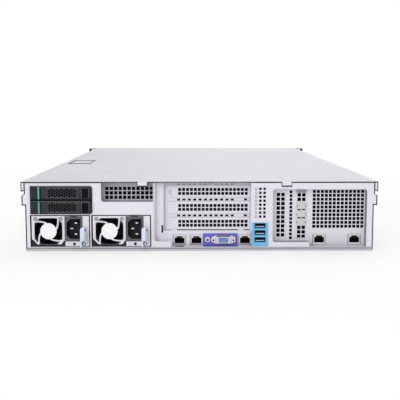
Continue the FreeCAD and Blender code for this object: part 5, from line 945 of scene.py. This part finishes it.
# Side walls: studs for the slide rails and flush screws with a cross, the cross a dark bar of painted shade
WALL = -mm_box("left_ear")[1].x
STUD_YS = (-310.0, -130.0, 60.0, 250.0)
STUD_Z = 30.0
SCREW_YS = (-360.0, -220.0, -35.0, 84.0, 150.0, 235.0, 300.0)
SCREW_ZS = (11.0, 50.0)
CROSS_LONG, CROSS_WIDE, CROSS_RISE = 1.3, 0.25, 0.4
studs = Shape()
for side in (-1, 1):
    outwards = (side, 0, 0)
    for y in STUD_YS:
        studs.turned((side * WALL, y, STUD_Z), outwards, STEEL, radius=4.4, length=0.7, sides=28, top=4.1)
        studs.turned((side * (WALL + 0.5), y, STUD_Z), outwards, STEEL, radius=2.2, length=1.5, sides=20)
        studs.turned((side * (WALL + 1.9), y, STUD_Z), outwards, STEEL, radius=3.6, length=0.9, sides=28,
                     top=3.3)
    left, right = sorted((side * WALL, side * (WALL + CROSS_RISE)))
    for y in SCREW_YS:
        for z in SCREW_ZS:
            studs.turned((side * WALL, y, z), outwards, STEEL, radius=2.6, length=0.35, sides=24, top=2.2,
                         bevel=0.1)
            # Cross in each screw: dark bars of painted shade.
            for dy, dz in ((CROSS_LONG, CROSS_WIDE), (CROSS_WIDE, CROSS_LONG)):
                studs.block((left, y - dy, z - dz), (right, y + dy, z + dz), DARK_SHADE, bevel=0.05)
studs.piece("side_fasteners", "chassis", "bright_steel")

# Front carriers: honeycomb lever in the bezel's well, release tab, teal strip and two lamps. One mesh serves
# all twelve, with x and z from the carrier's lower left corner.
low, high = mm_box("front_carrier_1")
wide, tall = high.x - low.x, high.z - low.z
face, well = high.y, high.y - 3.0
left, right, foot, head = 8.4, wide - 14.4, 3.8, tall - 3.8
lever_y = well + 1.9
trim = Shape()
trim.honeycomb((left + 5.0, right - 2.0), (foot + 1.0, head - 1.0), well + 0.1, depth=1.3, pitch=4.3,
               radius=2.0, material=LEVER)
for xs, zs in (((left, right), (foot, foot + 2.2)), ((left, right), (head - 2.2, head)),
               ((left, left + 7.0), (foot, head)), ((right - 4.6, right), (foot, head))):
    trim.block((xs[0], well, zs[0]), (xs[1], lever_y, zs[1]), LEVER, bevel=0.3)
trim.block((wide - 12.2, face - 0.3, 4.6), (wide - 2.6, face + 0.9, tall - 4.6), BUTTON, bevel=0.4)
trim.block((4.6, face - 0.2, 1.2), (6.3, face + 0.25, tall - 1.2), TEAL, bevel=0.1)
for z in (8.0, 13.0):
    trim.block((1.6, face - 0.2, z), (3.0, face + 0.2, z + 2.2), LENS, bevel=0.15)
carrier_trim = trim.mesh("front_carrier_trim")
for i in FRONT_CARRIERS:
    carrier = "front_carrier_%d" % i
    corner = mm_box(carrier)[0]
    put(carrier_trim, carrier + "_trim", carrier, (corner.x, 0, corner.z))

# Left ear: ring round the power button and a row of lamps above it
EAR_LAMPS = 3
FIRST_LAMP, LAMP_PITCH = 6.5, 3.6
at = middle(mm_box("power_button"))
ear_y = mm_box("left_ear")[1].y
panel = Shape()
panel.ring((at.x, ear_y, at.z), TO_FRONT, STEEL, inner=2.8, outer=3.6, length=0.5)
for k in range(EAR_LAMPS):
    panel.turned((at.x, ear_y, at.z + FIRST_LAMP + k * LAMP_PITCH), TO_FRONT, LENS, radius=0.95, length=0.4,
                 sides=16, top=0.7, bevel=0.08)
panel.piece("ear_lamps", "chassis", "bright_steel")

# Cover lever: painted shadow round its well and finger ribs at its free end
WELL_XS, WELL_YS = (-211.0, -179.0), (-81.0, -11.0)
SHADOW_SIDE, SHADOW_END = 2.2, 7.0
lid_top = mm_box("top_cover")[1].z
outer_ys = (WELL_YS[0] - SHADOW_END, WELL_YS[1] + SHADOW_END)
well_shade = Shape()
for xs, ys in (((WELL_XS[0] - SHADOW_SIDE, WELL_XS[0]), outer_ys),
               ((WELL_XS[1], WELL_XS[1] + SHADOW_SIDE), outer_ys),
               (WELL_XS, (outer_ys[0], WELL_YS[0])),
               (WELL_XS, (WELL_YS[1], outer_ys[1]))):
    # Near black painted shadow round the well.
    well_shade.block((xs[0], ys[0], lid_top - 0.1), (xs[1], ys[1], lid_top + 0.15), SHADOW_OUTLINE, bevel=0.05)
well_shade.piece("lever_well_shadow", "cover", "charcoal")

RIBS = 5
RIB_PITCH, RIB_WIDTH = 3.0, 1.2
low, high = mm_box("cover_lever")
ribs = Shape()
for k in range(RIBS):
    y = low.y + 4.0 + k * RIB_PITCH
    ribs.block((low.x + 6.0, y, high.z - 0.1), (high.x - 6.0, y + RIB_WIDTH, high.z + 0.25), COVER,
               bevel=0.12)
ribs.piece("cover_lever_ribs", "cover_lever", "pale_steel")


# Stage, light and camera

WHITE_LIGHT = (1.0, 1.0, 1.0, 1.0)
FLOOR_COLOUR = (0.93, 0.93, 0.935, 1.0)
FLOOR_REACH = 14.0
FLOOR_DROP = 0.0006                     # floor under the lowest point of the part
FLOOR_NEAR, FLOOR_FAR = 0.45, 1.1       # the floor's glow rises between these distances from its middle
NEAR_GLOW = 0.5
ROOM_LEVEL = 0.5                        # world light on the part; the background itself is at full level
FOCAL_PIXELS, PHOTO_PIXELS = 764.29, 400.0
SENSOR = 36.0
CAMERA_PLACE = (-0.0105, -1.3376, 0.1798)
CAMERA_DIP, CAMERA_TURN = 6.958, -0.643


def combine(tree, operation, first, second):
    """Output of a maths node fed by two other outputs."""
    node = tree.nodes.new("ShaderNodeMath")
    node.operation = operation
    tree.links.new(first, node.inputs[0])
    tree.links.new(second, node.inputs[1])
    return node.outputs["Value"]


def floor_material():
    """Matt white that keeps shadows near the part and fades to plain white further out."""
    material = bpy.data.materials.new("floor_white")
    material.use_nodes = True
    tree = material.node_tree
    tree.nodes.remove(tree.nodes["Principled BSDF"])
    matt = tree.nodes.new("ShaderNodeBsdfDiffuse")
    matt.inputs["Color"].default_value = FLOOR_COLOUR
    glow = tree.nodes.new("ShaderNodeEmission")
    glow.inputs["Color"].default_value = WHITE_LIGHT
    glow.inputs["Strength"].default_value = 1.0
    coords = tree.nodes.new("ShaderNodeTexCoord")
    length = tree.nodes.new("ShaderNodeVectorMath")
    length.operation = "LENGTH"
    tree.links.new(coords.outputs["Object"], length.inputs[0])
    far = tree.nodes.new("ShaderNodeMapRange")
    far.interpolation_type = "SMOOTHSTEP"
    far.inputs["From Min"].default_value = FLOOR_NEAR
    far.inputs["From Max"].default_value = FLOOR_FAR
    far.inputs["To Min"].default_value = NEAR_GLOW
    tree.links.new(length.outputs["Value"], far.inputs["Value"])
    rays = tree.nodes.new("ShaderNodeLightPath").outputs
    seen = combine(tree, "MAXIMUM", rays["Is Camera Ray"], rays["Is Glossy Ray"])
    mix = tree.nodes.new("ShaderNodeMixShader")
    tree.links.new(combine(tree, "MULTIPLY", far.outputs["Result"], seen), mix.inputs["Fac"])
    tree.links.new(matt.outputs["BSDF"], mix.inputs[1])
    tree.links.new(glow.outputs["Emission"], mix.inputs[2])
    tree.links.new(mix.outputs["Shader"], tree.nodes["Material Output"].inputs["Surface"])
    return material


def stage_floor():
    mesh = bpy.data.meshes.new("floor")
    corners = [(x * FLOOR_REACH, y * FLOOR_REACH, 0) for x, y in ((-1, -1), (1, -1), (1, 1), (-1, 1))]
    mesh.from_pydata(corners, [], [(0, 1, 2, 3)])
    mesh.materials.append(floor_material())
    floor = bpy.data.objects.new("floor", mesh)
    floor.location.z = cad_box[0][2] - FLOOR_DROP
    bpy.context.scene.collection.objects.link(floor)


def studio_world():
    """White background, with less light from it on the part itself."""
    world = bpy.data.worlds.new("studio")
    bpy.context.scene.world = world
    world.use_nodes = True
    tree = world.node_tree
    back = tree.nodes["Background"]
    back.inputs["Color"].default_value = WHITE_LIGHT
    rays = tree.nodes.new("ShaderNodeLightPath").outputs
    seen = combine(tree, "MAXIMUM", rays["Is Camera Ray"], rays["Is Glossy Ray"])
    seen = combine(tree, "MAXIMUM", seen, rays["Is Transmission Ray"])
    level = tree.nodes.new("ShaderNodeMapRange")
    level.inputs["To Min"].default_value = ROOM_LEVEL
    level.inputs["To Max"].default_value = 1.0
    tree.links.new(seen, level.inputs["Value"])
    tree.links.new(level.outputs["Result"], back.inputs["Strength"])


def softbox(name, place, target, width, height, power):
    """Rectangular lamp that looks at target. Sizes are in metres, power in watts."""
    lamp = bpy.data.lights.new(name, "AREA")
    lamp.shape = "RECTANGLE"
    lamp.size = width
    lamp.size_y = height
    lamp.energy = power
    obj = bpy.data.objects.new(name, lamp)
    obj.location = place
    obj.rotation_euler = (Vector(target) - Vector(place)).to_track_quat("-Z", "Y").to_euler()
    bpy.context.scene.collection.objects.link(obj)


def photo_camera():
    """The camera fitted to the photo."""
    lens = bpy.data.cameras.new("photo_camera")
    lens.sensor_fit = "HORIZONTAL"
    lens.sensor_width = SENSOR
    lens.lens = FOCAL_PIXELS / PHOTO_PIXELS * SENSOR
    lens.clip_start = 0.02
    obj = bpy.data.objects.new("photo_camera", lens)
    obj.location = CAMERA_PLACE
    obj.rotation_euler = (math.radians(90.0 - CAMERA_DIP), 0.0, math.radians(CAMERA_TURN))
    bpy.context.scene.collection.objects.link(obj)
    bpy.context.scene.camera = obj


stage_floor()
studio_world()
softbox("overhead", place=(0.0, 0.1, 2.4), target=(0.0, 0.0, 0.0), width=3.0, height=3.0, power=30.0)
softbox("rear_fill", place=(-0.7, -2.6, 1.1), target=(0.0, -0.39, 0.04), width=2.4, height=1.8, power=30.0)
softbox("front_fill", place=(0.8, 2.6, 1.2), target=(0.0, 0.39, 0.04), width=2.4, height=1.8, power=22.0)
photo_camera()
bpy.context.scene.view_settings.view_transform = "Standard"
